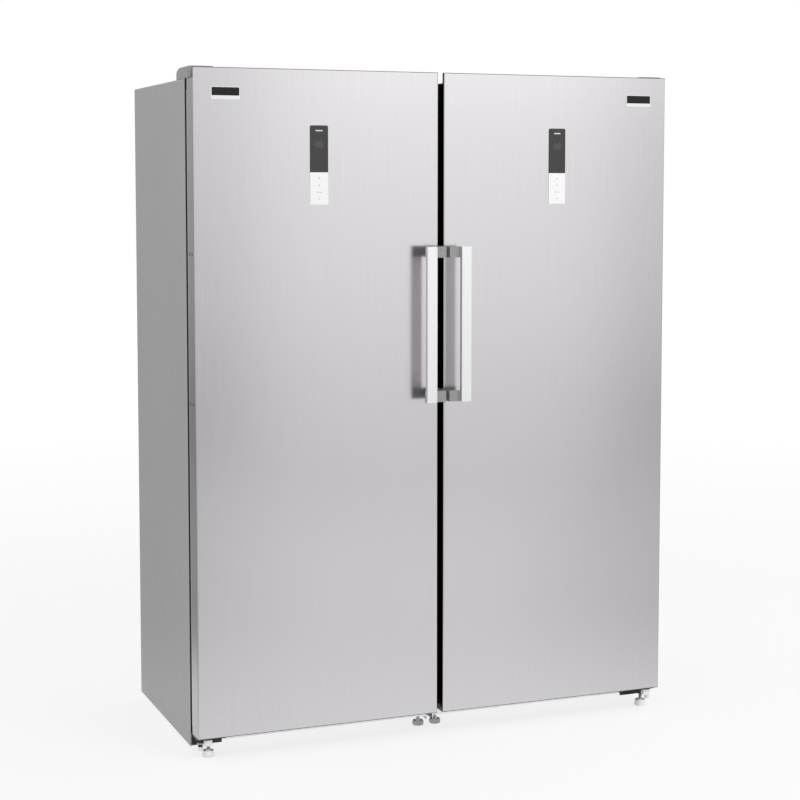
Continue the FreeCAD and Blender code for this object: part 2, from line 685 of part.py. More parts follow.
def compressor():
    """Hermetic compressor on a plate with four rubber feet."""
    across = f"({CENTRE} + compressor_offset)"
    along = f"({REAR} - machine_depth / 2)"
    shell = body("compressor_shell")
    rim = "compressor_radius"
    revolve(shell, "compressor_dome", "XZ", "Z", [
        ("0", "0"),
        (f"({rim} * 0.9)", "0"),
        (rim, "(compressor_height / 8)"),
        (rim, "(compressor_height * 0.65)"),
        (f"({rim} * 0.75)", "(compressor_height * 0.92)"),
        ("0", "compressor_height"),
    ])
    plate_z = f"({TRAY_TOP} + compressor_foot)"
    shell_z = f"({plate_z} + base_gauge)"
    bind(shell, Placement__Base__x=across, Placement__Base__y=along, Placement__Base__z=shell_z)
    half = "(compressor_plate / 2)"
    depth = "(compressor_plate / 3)"
    plate = box("compressor_plate_sheet", f"({across} - {half})", f"({across} + {half})",
                f"({along} - {depth})", f"({along} + {depth})", plate_z, shell_z)
    spread = "(compressor_plate * 0.42)"
    feet = []
    for side in ("-", "+"):
        for end in ("-", "+"):
            feet.append(rod("compressor_rubber", "Z", f"({across} {side} {spread})",
                            f"({along} {end} {depth} * 0.75)", TRAY_TOP, "compressor_foot",
                            "(2 * compressor_foot)"))
    relay = box("compressor_relay", f"({across} - {rim} - compressor_foot)", f"({across} - {rim} / 2)",
                f"({along} - compressor_foot * 2)", f"({along} + compressor_foot * 2)",
                f"({shell_z} + compressor_height / 4)", f"({shell_z} + compressor_height * 0.6)")
    return fuse("freezer_compressor", [shell, plate, relay] + feet)


def finned_coil(name, left, front, floor, width, depth, height, fins, rows, ranks, stand, wall):
    """Tubes in rows and ranks through upright fins; the end fins reach a stand and a wall."""
    pieces = []
    right = f"({left} + {width})"
    for index in range(fins):
        place = f"({left} + ({width} - coil_fin) * {index} / {fins - 1})"
        last = index in (0, fins - 1)
        pieces.append(box(f"{name}_fin", place, f"({place} + coil_fin)", front,
                          wall if last else f"({front} + {depth})",
                          stand if last else floor, f"({floor} + {height})"))
    for row in range(rows):
        for rank in range(ranks):
            along = f"({front} + {depth} * {2 * rank + 1} / {2 * ranks})"
            up = f"({floor} + {height} * {2 * row + 1} / {2 * rows})"
            pieces.append(rod(f"{name}_tube", "X", left, along, up, f"{right} - {left}", "coil_tube"))
    return fuse(name, pieces)


def condenser():
    """Finned condenser that stands on the tray beside the compressor."""
    left = f"({CENTRE} - coil_offset - coil_width / 2)"
    front = f"({REAR} - machine_depth / 2 - coil_depth / 2)"
    floor = f"({TRAY_TOP} + compressor_foot)"
    return finned_coil("freezer_condenser", left, front, floor, "coil_width", "coil_depth",
                       "coil_height", 11, 3, 3, TRAY_TOP, f"({front} + coil_depth)")


def evaporator():
    """Finned evaporator on the rear wall, behind the air duct's front."""
    left = f"({CENTRE} - frost_width / 2)"
    wall = f"({ROOM_REAR} - liner_gauge)"
    front = f"({wall} - frost_depth - duct_wall)"
    return finned_coil("freezer_evaporator", left, front, "frost_bottom", "frost_width",
                       "frost_depth", "frost_height", 15, 5, 2, "frost_bottom", wall)


def air_duct(name, width, vents_at_shelves):
    """Moulded duct on the rear wall with a fan grille and vent slots."""
    duct = body(name)
    half = f"({width} / 2)"
    wall = f"({ROOM_REAR} - liner_gauge)"
    prism(duct, name + "_block", "XZ", DUCT_FRONT, wall,
          rectangle(f"({CENTRE} - {half})", f"({CENTRE} + {half})", "duct_bottom", "duct_top"))
    prism(duct, name + "_hollow", "XZ", f"({DUCT_FRONT} + duct_wall)", f"({wall} + duct_wall)",
          rectangle(f"({CENTRE} - {half} + duct_wall)", f"({CENTRE} + {half} - duct_wall)",
                    "(duct_bottom + duct_wall)", "(duct_top - duct_wall)"), cutting=True)
    slots = [(CENTRE, f"(fan_height + {step} * vent_pitch)") for step in (-2, -1, 0, 1, 2)]
    for level in vents_at_shelves:
        up = f"({shelf_level(level)} + shelf_pitch * 0.7)"
        slots += [(f"({CENTRE} - vent_offset)", up), (f"({CENTRE} + vent_offset)", up)]
    for index, (across, up) in enumerate(slots):
        prism(duct, f"{name}_vent_{index}", "XZ", f"({DUCT_FRONT} - duct_wall)",
              f"({DUCT_FRONT} + 2 * duct_wall)",
              rectangle(f"({across} - vent_length / 2)", f"({across} + vent_length / 2)",
                        f"({up} - vent_height / 2)", f"({up} + vent_height / 2)"), cutting=True)
    return duct


FAN_Y = f"({DUCT_FRONT} + duct_wall + fan_gap)"
BLADE_COUNT = 7


def fan_motor():
    """Small motor on the rear wall with its shaft pointing into the room."""
    wall = f"({ROOM_REAR} - liner_gauge)"
    can = rod("fan_motor_can", "Y", CENTRE, f"({wall} - motor_length)", "fan_height",
              "motor_length", "(2 * fan_hub)")
    shaft = rod("fan_motor_shaft", "Y", CENTRE, f"({FAN_Y} - fan_gap / 4)", "fan_height",
                f"{wall} - motor_length - ({FAN_Y} - fan_gap / 4)", "fan_shaft")
    return fuse("freezer_fan_motor", [can, shaft])


def fan_rotor(name):
    """Fan hub with pitched blades, free to turn on the motor shaft."""
    rotor = body(name)
    bore(rotor, name + "_hub", "XZ", "0", "fan_length", "0", "0", "(2 * fan_hub)", cutting=False)
    lead = "(fan_length * 0.7)"
    thin = "blade_gauge"
    low = "(fan_length * 0.1)"
    high = "(fan_length * 0.9)"
    blade = prism(rotor, name + "_blade", "XY", "(fan_hub * 0.8)", "fan_tip", [
        (f"-{lead}", low),
        (f"({thin} - {lead})", low),
        (lead, f"({high} - {thin})"),
        (lead, high),
        (f"({lead} - {thin})", high),
        (f"-{lead}", f"({low} + {thin})"),
    ])
    doc.recompute()
    ring = rotor.newObject("PartDesign::PolarPattern", name + "_blades")
    ring.Originals = [blade]
    ring.Axis = (origin_feature(rotor, "Y_Axis"), [""])
    ring.Angle = 360
    ring.Occurrences = BLADE_COUNT
    rotor.Tip = ring
    doc.recompute()
    bore(rotor, name + "_bore", "XZ", "-fan_gap / 4", "fan_length + fan_gap / 4", "0", "0",
         "(fan_shaft + 2 * running_clearance)")
    return bind(rotor, Placement__Base__x=CENTRE, Placement__Base__y=FAN_Y,
                Placement__Base__z="fan_height")


GLAND_X = f"({CENTRE} - gland_offset)"
COVER_BACK = f"({REAR} - cover_recess)"
LOUVRE_ROWS = 8


def machine_cover():
    """Louvred sheet over the machine compartment."""
    cover = body("freezer_machine_cover")
    inside = f"({COVER_BACK} - sheet_gauge)"
    prism(cover, "cover_sheet", "XZ", inside, COVER_BACK,
          rectangle(f"({SKIN_LEFT} + base_gauge)", f"({SKIN_RIGHT} - base_gauge)", TRAY_TOP,
                    "machine_top"))
    for side in ("-", "+"):
        for index in range(LOUVRE_ROWS):
            across = f"({CENTRE} {side} louvre_width * 0.65)"
            up = f"(machine_top - (2 + {index}) * louvre_pitch)"
            prism(cover, "louvre", "XZ", inside, COVER_BACK,
                  rectangle(f"({across} - louvre_width / 2)", f"({across} + louvre_width / 2)",
                            f"({up} - louvre_height / 2)", f"({up} + louvre_height / 2)"),
                  cutting=True)
    bore(cover, "gland_hole", "XZ", inside, COVER_BACK, GLAND_X, "gland_height",
         "(gland_neck + screw_play)")
    return cover


def cord_gland():
    """Gland in the machine cover where the supply cord leaves."""
    gland = body("freezer_cord_gland")
    inside = f"({COVER_BACK} - sheet_gauge - gland_reach / 2)"
    bore(gland, "gland_flange", "XZ", COVER_BACK, f"({COVER_BACK} + gland_reach)", GLAND_X,
         "gland_height", "gland_diameter", cutting=False)
    bore(gland, "gland_neck_tube", "XZ", inside, COVER_BACK, GLAND_X, "gland_height",
         "gland_neck", cutting=False)
    bore(gland, "gland_passage", "XZ", inside, f"({COVER_BACK} + gland_reach)", GLAND_X,
         "gland_height", "gland_bore")
    return gland


def door_core(back):
    """Plan of what fits inside the folded door skin, its front corners cut clear of the folds."""
    front = f"({FRONT} + sheet_gauge)"
    return [
        (f"({SKIN_LEFT} + bend_radius)", front),
        (f"({SKIN_RIGHT} - bend_radius)", front),
        (SKIN_RIGHT, f"({front} + bend_radius)"),
        (SKIN_RIGHT, back),
        (SKIN_LEFT, back),
        (SKIN_LEFT, f"({front} + bend_radius)"),
    ]


def notch_outlines():
    """Plans of the hinge notches in the two top corners of the door."""
    front = f"({FRONT} + notch_front)"
    back = f"({DOOR_BACK} + sheet_gauge)"
    return [
        rectangle(f"({OUTER} - sheet_gauge)", f"({OUTER} + notch_width)", front, back),
        rectangle(f"({INNER} - notch_width)", f"({INNER} + sheet_gauge)", front, back),
    ]


def bracket_floors():
    """Lower ends of the two handle brackets."""
    return ["handle_bottom", "(handle_bottom + handle_length - bracket_height)"]


def handle_screw_places():
    """Depth and height of the screws that hold the handle brackets to the door's edge."""
    places = []
    for floor in bracket_floors():
        for share in ("0.35", "0.8"):
            places.append((f"({FRONT} + leg_reach * {share})", f"({floor} + bracket_height / 2)"))
    return places


def door_skin():
    """Stainless front of the door, folded back along both edges."""
    skin = body("freezer_door_skin")
    back = f"({DOOR_BACK} - liner_gauge)"
    prism(skin, "skin_wrap", "XY", "door_bottom", "door_top",
          rectangle(OUTER, INNER, FRONT, back))
    inside = f"({FRONT} + sheet_gauge)"
    prism(skin, "skin_hollow", "XY", "(door_bottom - sheet_gauge)", "(door_top + sheet_gauge)",
          rectangle(SKIN_LEFT, SKIN_RIGHT, inside, DOOR_BACK), cutting=True)
    soften(skin, "skin_inner_folds", "Fillet", "bend_radius - sheet_gauge", "Z",
           {"x": SKIN_LEFT, "y": inside}, {"x": SKIN_RIGHT, "y": inside})
    soften(skin, "skin_outer_folds", "Fillet", "bend_radius", "Z",
           {"x": OUTER, "y": FRONT}, {"x": INNER, "y": FRONT})
    for side, outline in enumerate(notch_outlines()):
        prism(skin, f"skin_notch_{side}", "XY", NOTCH_FLOOR, "(door_top + sheet_gauge)", outline,
              cutting=True)
    prism(skin, "panel_cutout", "XZ", f"({FRONT} - sheet_gauge)", f"({FRONT} + 2 * sheet_gauge)",
          panel_cutout(), cutting=True)
    for index, (along, up) in enumerate(handle_screw_places()):
        bore(skin, f"skin_screw_hole_{index}", "YZ", SKIN_RIGHT, INNER, along, up,
             "(screw_diameter + screw_play)")
    return skin


def panel_cutout():
    """Front view of the cut-out for the bodies of display and keypad."""
    half = "(panel_width / 2 - panel_rim + panel_play)"
    return rectangle(f"({CENTRE} - {half})", f"({CENTRE} + {half})",
                     f"({PANEL_BOTTOM} + panel_rim - panel_play)",
                     f"({PANEL_TOP} - panel_rim + panel_play)")


def door_end_caps():
    """Moulded caps in the two ends of the door, with notches and bores for either hinge side."""
    top = body("freezer_door_top_cap")
    prism(top, "top_cap_block", "XY", TOP_CAP_FLOOR, "(door_top - sheet_gauge)",
          door_core(DOOR_BACK))
    for side, outline in enumerate(notch_outlines()):
        prism(top, f"top_cap_notch_{side}", "XY", NOTCH_FLOOR, "door_top", outline, cutting=True)
    bottom = body("freezer_door_bottom_cap")
    prism(bottom, "bottom_cap_block", "XY", "door_bottom", BOTTOM_CAP_ROOF, door_core(DOOR_BACK))
    hole = "(pin_diameter + 2 * running_clearance)"
    for side, across in enumerate((AXIS_X, f"({INNER} - hinge_inset)")):
        bore(top, f"top_cap_bore_{side}", "XY", TOP_CAP_FLOOR, NOTCH_FLOOR, across, AXIS_Y, hole)
        bore(bottom, f"bottom_cap_bore_{side}", "XY", "door_bottom", BOTTOM_CAP_ROOF, across,
             AXIS_Y, hole)
    return group("freezer_door_end_caps", [top, bottom])


def dyke(grow, outward):
    """Front view of the outer or inner edge of the raised rim on the door's inside."""
    inset = f"(dyke_inset - {grow})" if outward else f"(dyke_inset + dyke_width + {grow})"
    margin = f"({inset} - dyke_inset + dyke_margin)"
    return rectangle(f"({OUTER} + {inset})", f"({INNER} - {inset})",
                     f"({ROOM_FLOOR} + {margin})", f"({ROOM_ROOF} - {margin})")


def door_insulation():
    """Foam core of the door with its raised rim and the recess for the control panel."""
    foam = body("freezer_door_insulation")
    back = f"({DOOR_BACK} - liner_gauge)"
    prism(foam, "door_foam_block", "XY", BOTTOM_CAP_ROOF, TOP_CAP_FLOOR, door_core(back))
    prism(foam, "door_foam_rim", "XZ", back, f"({CABINET_FRONT} + dyke_height)",
          dyke("0", True), dyke("0", False))
    prism(foam, "panel_recess", "XZ", FRONT, f"({FRONT} + panel_depth + panel_play)",
          panel_cutout(), cutting=True)
    for index, (along, up) in enumerate(handle_screw_places()):
        bore(foam, f"foam_screw_hole_{index}", "YZ", f"({SKIN_RIGHT} - screw_bite - screw_play)",
             INNER, along, up, "(screw_diameter + screw_play)")
    return foam


def door_liner():
    """Formed inside of the door that follows the foam's raised rim."""
    liner = body("freezer_door_liner")
    flat = f"({DOOR_BACK} - liner_gauge)"
    crest = f"({CABINET_FRONT} + dyke_height)"
    prism(liner, "door_liner_sheet", "XZ", flat, DOOR_BACK,
          rectangle(OUTER, INNER, BOTTOM_CAP_ROOF, TOP_CAP_FLOOR))
    prism(liner, "door_liner_rim", "XZ", flat, f"({crest} + liner_gauge)",
          dyke("liner_gauge", True), dyke("liner_gauge", False))
    prism(liner, "door_liner_channel", "XZ", flat, crest, dyke("0", True), dyke("0", False),
          cutting=True)
    return liner


def gasket_outline(inset):
    """Front view of one edge of the gasket."""
    return rectangle(f"({OUTER} + {inset})", f"({INNER} - {inset})",
                     f"({BOTTOM_CAP_ROOF} + {inset} - gasket_inset)",
                     f"({TOP_CAP_FLOOR} - {inset} + gasket_inset)")


def door_gasket():
    """Magnetic gasket: a foot on the door liner and a narrower bulb towards the cabinet."""
    gasket = body("freezer_door_gasket")
    step = f"({DOOR_BACK} + gasket_foot)"
    prism(gasket, "gasket_foot_ring", "XZ", DOOR_BACK, step, gasket_outline("gasket_inset"),
          gasket_outline("(gasket_inset + gasket_width)"))
    prism(gasket, "gasket_bulb_ring", "XZ", step, f"({CABINET_FRONT} - seal_clearance)",
          gasket_outline("(gasket_inset + gasket_lip)"),
          gasket_outline("(gasket_inset + gasket_width - gasket_lip)"))
    return gasket


def panel_half(name, floor, roof, round_at, radius):
    """Half of the control panel: a front plate, rounded at one end, and the body behind it."""
    plate = body(name)
    half = "(panel_width / 2)"
    left = f"({CENTRE} - {half})"
    right = f"({CENTRE} + {half})"
    prism(plate, name + "_plate", "XZ", f"({FRONT} - panel_proud)", FRONT,
          rectangle(left, right, floor, roof))
    soften(plate, name + "_corners", "Fillet", radius, "Y",
           {"x": left, "z": round_at}, {"x": right, "z": round_at})
    low = f"({floor} + panel_rim)" if round_at == floor else floor
    high = f"({roof} - panel_rim)" if round_at == roof else roof
    prism(plate, name + "_back", "XZ", FRONT, f"({FRONT} + panel_depth)",
          rectangle(f"({left} + panel_rim)", f"({right} - panel_rim)", low, high))
    return plate


BAR_RIGHT = f"({INNER} - handle_inset)"
BAR_LEFT = f"({BAR_RIGHT} - handle_width)"
BAR_FRONT = f"({FRONT} - handle_standoff)"
BAR_BACK = f"({BAR_FRONT} + handle_thickness)"
LEG_OUTSIDE = f"({INNER} + bracket_leg)"


def handle_bar():
    """Flat upright bar with softened edges."""
    bar = body("freezer_handle_bar")
    prism(bar, "bar_block", "XY", "handle_bottom", "(handle_bottom + handle_length)",
          rectangle(BAR_LEFT, BAR_RIGHT, BAR_FRONT, BAR_BACK))
    soften(bar, "bar_edges", "Fillet", "handle_edge", "Z", {"x": BAR_LEFT, "y": BAR_FRONT},
           {"x": BAR_RIGHT, "y": BAR_FRONT})
    return bar


def handle_brackets():
    """Angle brackets from the back of the bar to the door's opening edge."""
    arm_back = f"({BAR_BACK} + bracket_arm)"
    leg_end = f"({FRONT} + leg_reach)"
    brackets = []
    for index, floor in enumerate(bracket_floors()):
        bracket = body(f"freezer_handle_bracket_{index}")
        prism(bracket, f"bracket_angle_{index}", "XY", floor, f"({floor} + bracket_height)", [
            (BAR_LEFT, BAR_BACK),
            (LEG_OUTSIDE, BAR_BACK),
            (LEG_OUTSIDE, leg_end),
            (INNER, leg_end),
            (INNER, arm_back),
            (BAR_LEFT, arm_back),
        ])
        for place, (along, up) in enumerate(handle_screw_places()[2 * index:2 * index + 2]):
            bore(bracket, f"bracket_hole_{index}_{place}", "YZ", INNER, LEG_OUTSIDE, along, up,
                 "(screw_diameter + screw_play)")
        brackets.append(bracket)
    return group("freezer_handle_brackets", brackets)


def handle_screws():
    """Screws through the bracket legs into the door's edge."""
    screws = []
    start = f"({SKIN_RIGHT} - screw_bite)"
    for along, up in handle_screw_places():
        shank = rod("handle_screw_shank", "X", start, along, up, f"{LEG_OUTSIDE} - {start}",
                    "screw_diameter")
        head = rod("handle_screw_head", "X", LEG_OUTSIDE, along, up, "screw_head_height",
                   "screw_head")
        screws.append(fuse("handle_screw", [shank, head]))
    return group("freezer_handle_screws", screws)


def top_screw_places():
    """Plan of the screws in the top hinge's plate."""
    near = f"({CABINET_FRONT} + hinge_plate_depth * 0.45)"
    far = f"({CABINET_FRONT} + hinge_plate_depth * 0.95)"
    left = f"({AXIS_X} + hinge_plate_width * 0.05)"
    right = f"({AXIS_X} + hinge_plate_width * 0.6)"
    return [(left, near), (right, near), (right, far)]


HINGE_PLATE_TOP = "(cabinet_top + hinge_gauge)"


def top_hinge():
    """Plate on the cabinet top with an arm over the door and a pin down into its cap."""
    hinge = body("freezer_top_hinge")
    left = f"({AXIS_X} - hinge_plate_width / 6)"
    prism(hinge, "hinge_plate", "XY", "cabinet_top", HINGE_PLATE_TOP,
          rectangle(left, f"({left} + hinge_plate_width)", f"({CABINET_FRONT} + hinge_gauge)",
                    f"({CABINET_FRONT} + hinge_gauge + hinge_plate_depth)"))
    prism(hinge, "hinge_arm", "XY", "cabinet_top", HINGE_PLATE_TOP,
          rectangle(AXIS_X, f"({AXIS_X} + hinge_arm_width)", AXIS_Y,
                    f"({CABINET_FRONT} + hinge_plate_depth / 2)"))
    bore(hinge, "hinge_eye", "XY", "cabinet_top", HINGE_PLATE_TOP, AXIS_X, AXIS_Y,
         "(2 * pin_diameter)", cutting=False)
    bore(hinge, "hinge_pin", "XY", f"({NOTCH_FLOOR} - pin_reach)", "cabinet_top", AXIS_X, AXIS_Y,
         "pin_diameter", cutting=False)
    for index, (across, along) in enumerate(top_screw_places()):
        bore(hinge, f"hinge_hole_{index}", "XY", "cabinet_top", HINGE_PLATE_TOP, across, along,
             "(screw_diameter + screw_play)")
    return hinge


def hinge_cover():
    """Moulded cover over the top hinge: a nose round the pin, a slot behind it, a box on the cabinet
    and a rear end that curves down."""
    cover = body("freezer_hinge_cover")
    left = f"({OUTER} + sheet_gauge)"
    right = f"({left} + cover_width)"
    front = f"({AXIS_Y} - cover_nose)"
    split = f"({CABINET_FRONT} - cover_overhang)"
    back = f"({CABINET_FRONT} + cover_length)"
    roof = "overall_height"
    wall = "cover_wall"
    profile = [(front, roof), (front, "cabinet_top"), (back, "cabinet_top")]
    for reach, drop in ((1, 1), (0.924, 0.617), (0.707, 0.293), (0.383, 0.076), (0, 0)):
        profile.append((f"({back} - cover_slope * (1 - {reach}))", f"({roof} - cover_shoulder * {drop})"))
    prism(cover, "cover_box", "YZ", left, right, profile)
    inner_left = f"({left} + {wall})"
    inner_right = f"({right} - {wall})"
    inner_front = f"({front} + {wall})"
    prism(cover, "cover_hollow", "XY", "cabinet_top", f"({roof} - cover_roof)",
          rectangle(inner_left, inner_right, inner_front, f"({back} - cover_slope / 2)"), cutting=True)
    prism(cover, "cover_low_hollow", "XY", "cabinet_top", f"({HINGE_PLATE_TOP} + 2 * screw_head_height)",
          rectangle(inner_left, inner_right, inner_front, f"({back} - cover_roof)"), cutting=True)
    prism(cover, "cover_side_slot", "XY", "cabinet_top", f"({roof} - cover_roof)",
          rectangle(left, inner_left, f"({split} - cover_slot)", split), cutting=True)
    return cover


def bottom_hinge():
    """Bracket under the door: a flange on the plinth, an arm with the pin, its collar and boss."""
    hinge = body("freezer_bottom_hinge")
    left = f"({OUTER} + base_gauge)"
    right = f"({left} + bracket_width)"
    arm_top = f"({HINGE_ARM_FLOOR} + hinge_gauge)"
    arm_front = f"({FRONT} + hinge_setback / 2)"
    prism(hinge, "lower_flange", "XZ", f"({CABINET_FRONT} - hinge_gauge)", CABINET_FRONT,
          rectangle(left, right, f"({arm_top} - bracket_drop)", arm_top))
    prism(hinge, "lower_arm", "XY", HINGE_ARM_FLOOR, arm_top,
          rectangle(left, right, arm_front, CABINET_FRONT))
    soften(hinge, "lower_arm_corners", "Fillet", "pin_diameter", "Z", {"x": left, "y": arm_front},
           {"x": right, "y": arm_front})
    boss_floor = f"({HINGE_ARM_FLOOR} - boss_drop)"
    bore(hinge, "lower_boss", "XY", boss_floor, HINGE_ARM_FLOOR, AXIS_X, AXIS_Y, "boss_diameter",
         cutting=False)
    bore(hinge, "lower_nut", "XY", f"({boss_floor} - nut_height)", boss_floor, AXIS_X, AXIS_Y,
         "nut_diameter", cutting=False)
    bore(hinge, "lower_collar", "XY", arm_top, f"({arm_top} + collar_height)", AXIS_X, AXIS_Y,
         "(2 * pin_diameter)", cutting=False)
    bore(hinge, "lower_pin", "XY", arm_top, f"({arm_top} + pin_reach)", AXIS_X, AXIS_Y,
         "pin_diameter", cutting=False)
    for index, (across, up) in enumerate(lower_screw_places()):
        bore(hinge, f"lower_hole_{index}", "XZ", f"({CABINET_FRONT} - hinge_gauge)", CABINET_FRONT,
             across, up, "(screw_diameter + screw_play)")
    return hinge


def hinge_screws():
    """Screws of the top hinge, down into the cabinet, and of the lower hinge, into the plinth."""
    screws = []
    floor = "(cabinet_top - screw_bite)"
    for across, along in top_screw_places():
        shank = rod("top_screw_shank", "Z", across, along, floor, f"{HINGE_PLATE_TOP} - {floor}",
                    "screw_diameter")
        head = rod("top_screw_head", "Z", across, along, HINGE_PLATE_TOP, "screw_head_height",
                   "screw_head")
        screws.append(fuse("top_screw", [shank, head]))
    flange = f"({CABINET_FRONT} - hinge_gauge)"
    for across, up in lower_screw_places():
        shank = rod("lower_screw_shank", "Y", across, flange, up, "(hinge_gauge + screw_bite)",
                    "screw_diameter")
        head = rod("lower_screw_head", "Y", across, f"({flange} - screw_head_height)", up,
                   "screw_head_height", "screw_head")
        screws.append(fuse("lower_screw", [shank, head]))
    return screws


def screw_holes(name, start, end):
    """Clearance holes for the top hinge's screws between two heights."""
    return [rod(name, "Z", across, along, start, f"{end} - {start}", "(screw_diameter + screw_play)")
            for across, along in top_screw_places()]


def glass_shelves(name, front):
    """Glass shelves that lie on the liner's ledges."""
    left = f"({ROOM_LEFT} + liner_gauge + shelf_play)"
    right = f"({ROOM_RIGHT} - liner_gauge - shelf_play)"
    plates = []
    for index in range(SHELF_COUNT):
        level = shelf_level(index)
        plates.append(box(f"{name}_{index}", left, right, front, f"({DUCT_FRONT} - shelf_play)",
                          level, f"({level} + shelf_gauge)"))
    return group(name, plates)


def open_tray(name, left, right, front, back, floor, height):
    """Moulded box with an open top."""
    tray = body(name)
    wall = "drawer_wall"
    roof = f"({floor} + {height})"
    prism(tray, name + "_block", "XY", floor, roof, rectangle(left, right, front, back))
    prism(tray, name + "_inside", "XY", f"({floor} + {wall})", f"({roof} + {wall})",
          rectangle(f"({left} + {wall})", f"({right} - {wall})", f"({front} + {wall})",
                    f"({back} - {wall})"), cutting=True)
    return tray


def drawer(name, left, right, front, back, floor, height):
    """Open tray with a finger notch in the top of its front."""
    tray = open_tray(name, left, right, front, back, floor, height)
    middle = f"(({left} + {right}) / 2)"
    roof = f"({floor} + {height})"
    prism(tray, name + "_grip", "XZ", f"({front} - drawer_wall)", f"({front} + 2 * drawer_wall)",
          rectangle(f"({middle} - grip_width / 2)", f"({middle} + grip_width / 2)",
                    f"({roof} - grip_depth)", f"({roof} + drawer_wall)"), cutting=True)
    return tray


FLOOR_LEVEL = f"({ROOM_FLOOR} + liner_gauge)"


def freezer_drawers():
    """Drawers on the glass shelves and a short one on the floor, in front of the step."""
    left = f"({CENTRE} - drawer_width / 2)"
    right = f"({CENTRE} + drawer_width / 2)"
    drawers = [drawer("freezer_low_drawer", left, right, STORE_FRONT,
                      f"({LOW_REAR} - drawer_play)", FLOOR_LEVEL, "low_drawer_height")]
    for index in range(SHELF_COUNT - 1):
        floor = f"({shelf_level(index)} + shelf_gauge)"
        drawers.append(drawer(f"freezer_drawer_{index}", left, right, STORE_FRONT,
                              f"({DUCT_FRONT} - drawer_play)", floor, "drawer_height"))
    return group("freezer_drawers", drawers)


def crisper_drawers():
    """Two drawers side by side on the refrigerator's floor."""
    half = "(drawer_width / 2)"
    back = f"({LOW_REAR} - drawer_play)"
    sides = [(f"({CENTRE} - {half})", f"({CENTRE} - crisper_gap / 2)"),
             (f"({CENTRE} + crisper_gap / 2)", f"({CENTRE} + {half})")]
    return group("crispers", [
        drawer(f"crisper_{index}", left, right, SHELF_FRONT, back, FLOOR_LEVEL, "low_drawer_height")
        for index, (left, right) in enumerate(sides)])


def door_bins():
    """Bins between the sides of the door liner's raised rim."""
    inset = "(dyke_inset + dyke_width + liner_gauge)"
    bins = []
    for index in range(BIN_COUNT):
        bins.append(open_tray(f"door_bin_{index}", f"({OUTER} + {inset})", f"({INNER} - {inset})",
                              DOOR_BACK, f"({DOOR_BACK} + bin_depth)",
                              f"(bin_first + {index} * bin_pitch)", "bin_height"))
    return group("bins", bins)


nodes = {}


def both_columns(part_name, piece):
    """Keep a piece for the freezer and its mirror image for the refrigerator."""
    nodes["freezer_" + part_name] = piece
    nodes["fridge_" + part_name] = mirror("fridge_" + part_name, piece)


hole_start = "(cabinet_top - screw_bite - screw_play)"
shell_holes = screw_holes("shell_hole", hole_start, "(cabinet_top + screw_play)")
both_columns("cabinet_shell", drill("freezer_shell_drilled", cabinet_shell(), shell_holes))
foam_holes = screw_holes("foam_hole", hole_start, "cabinet_top")
both_columns("insulation", drill("freezer_insulation", cabinet_insulation(), foam_holes))
both_columns("liner", cabinet_liner())
both_columns("base_frame", base_frame())
nodes["back_panels"] = pair("back_panels", back_panel())
nodes["compressors"] = pair("compressors", compressor())
nodes["condensers"] = pair("condensers", condenser())
nodes["evaporators"] = pair("evaporators", evaporator())
nodes["machine_covers"] = pair("machine_covers", machine_cover())
nodes["cord_glands"] = pair("cord_glands", cord_gland())
nodes["fan_motors"] = pair("fan_motors", fan_motor())
both_columns("fan", fan_rotor("freezer_fan"))
nodes["freezer_air_duct"] = air_duct("freezer_air_duct", "freezer_duct_width", [4])
nodes["fridge_air_duct"] = mirror(
    "fridge_air_duct", air_duct("fridge_duct", "fridge_duct_width", [0, 1, 2, 4]))
nodes["freezer_shelves"] = glass_shelves("freezer_shelves", STORE_FRONT)
nodes["fridge_shelves"] = mirror("fridge_shelves", glass_shelves("shelves", SHELF_FRONT))
nodes["freezer_drawers"] = freezer_drawers()
nodes["crisper_drawers"] = mirror("crisper_drawers", crisper_drawers())
nodes["fridge_door_bins"] = mirror("fridge_door_bins", door_bins())
nodes["joining_strip"] = box(
    "joining_strip", INNER, f"-{INNER}", f"({CABINET_FRONT} + base_gauge)",
    f"({CABINET_FRONT} + base_gauge + strip_depth)", "base_top", NOTCH_FLOOR)

both_columns("door_skin", door_skin())
both_columns("door_foam", door_insulation())
both_columns("door_liner", door_liner())
both_columns("door_gasket", door_gasket())
both_columns("door_end_caps", door_end_caps())
both_columns("display", panel_half("freezer_display", PANEL_SPLIT, PANEL_TOP, PANEL_TOP,
                                   "display_round"))
both_columns("keypad", panel_half("freezer_keypad", PANEL_BOTTOM, PANEL_SPLIT, PANEL_BOTTOM,
                                  "keypad_round"))
both_columns("handle_bar", handle_bar())
both_columns("handle_brackets", handle_brackets())
both_columns("handle_screws", handle_screws())

nodes["top_hinges"] = pair("top_hinges", top_hinge())
nodes["hinge_covers"] = pair("hinge_covers", hinge_cover())
nodes["bottom_hinges"] = pair("bottom_hinges", bottom_hinge())
nodes["hinge_screws"] = pair("hinge_screws", group("freezer_hinge_screws", hinge_screws()))
nodes["foot_sockets"] = pair("foot_sockets", foot_socket())
both_columns("hinge_foot", round_foot())
both_columns("inner_foot", hexagon_foot())
outer_roller, inner_roller = roller_places()
nodes["roller_axles"] = pair("roller_axles", group("freezer_axles", [
    roller_axle("outer_axle", outer_roller), roller_axle("inner_axle", inner_roller)]))
both_columns("outer_roller", rear_roller("freezer_outer_roller", outer_roller))
both_columns("inner_roller", rear_roller("freezer_inner_roller", inner_roller))

doc.recompute()

for item in doc.Objects:
    if "Invalid" in item.State or "Error" in item.State:
        raise RuntimeError(f"{item.Name} did not rebuild: {item.State}")

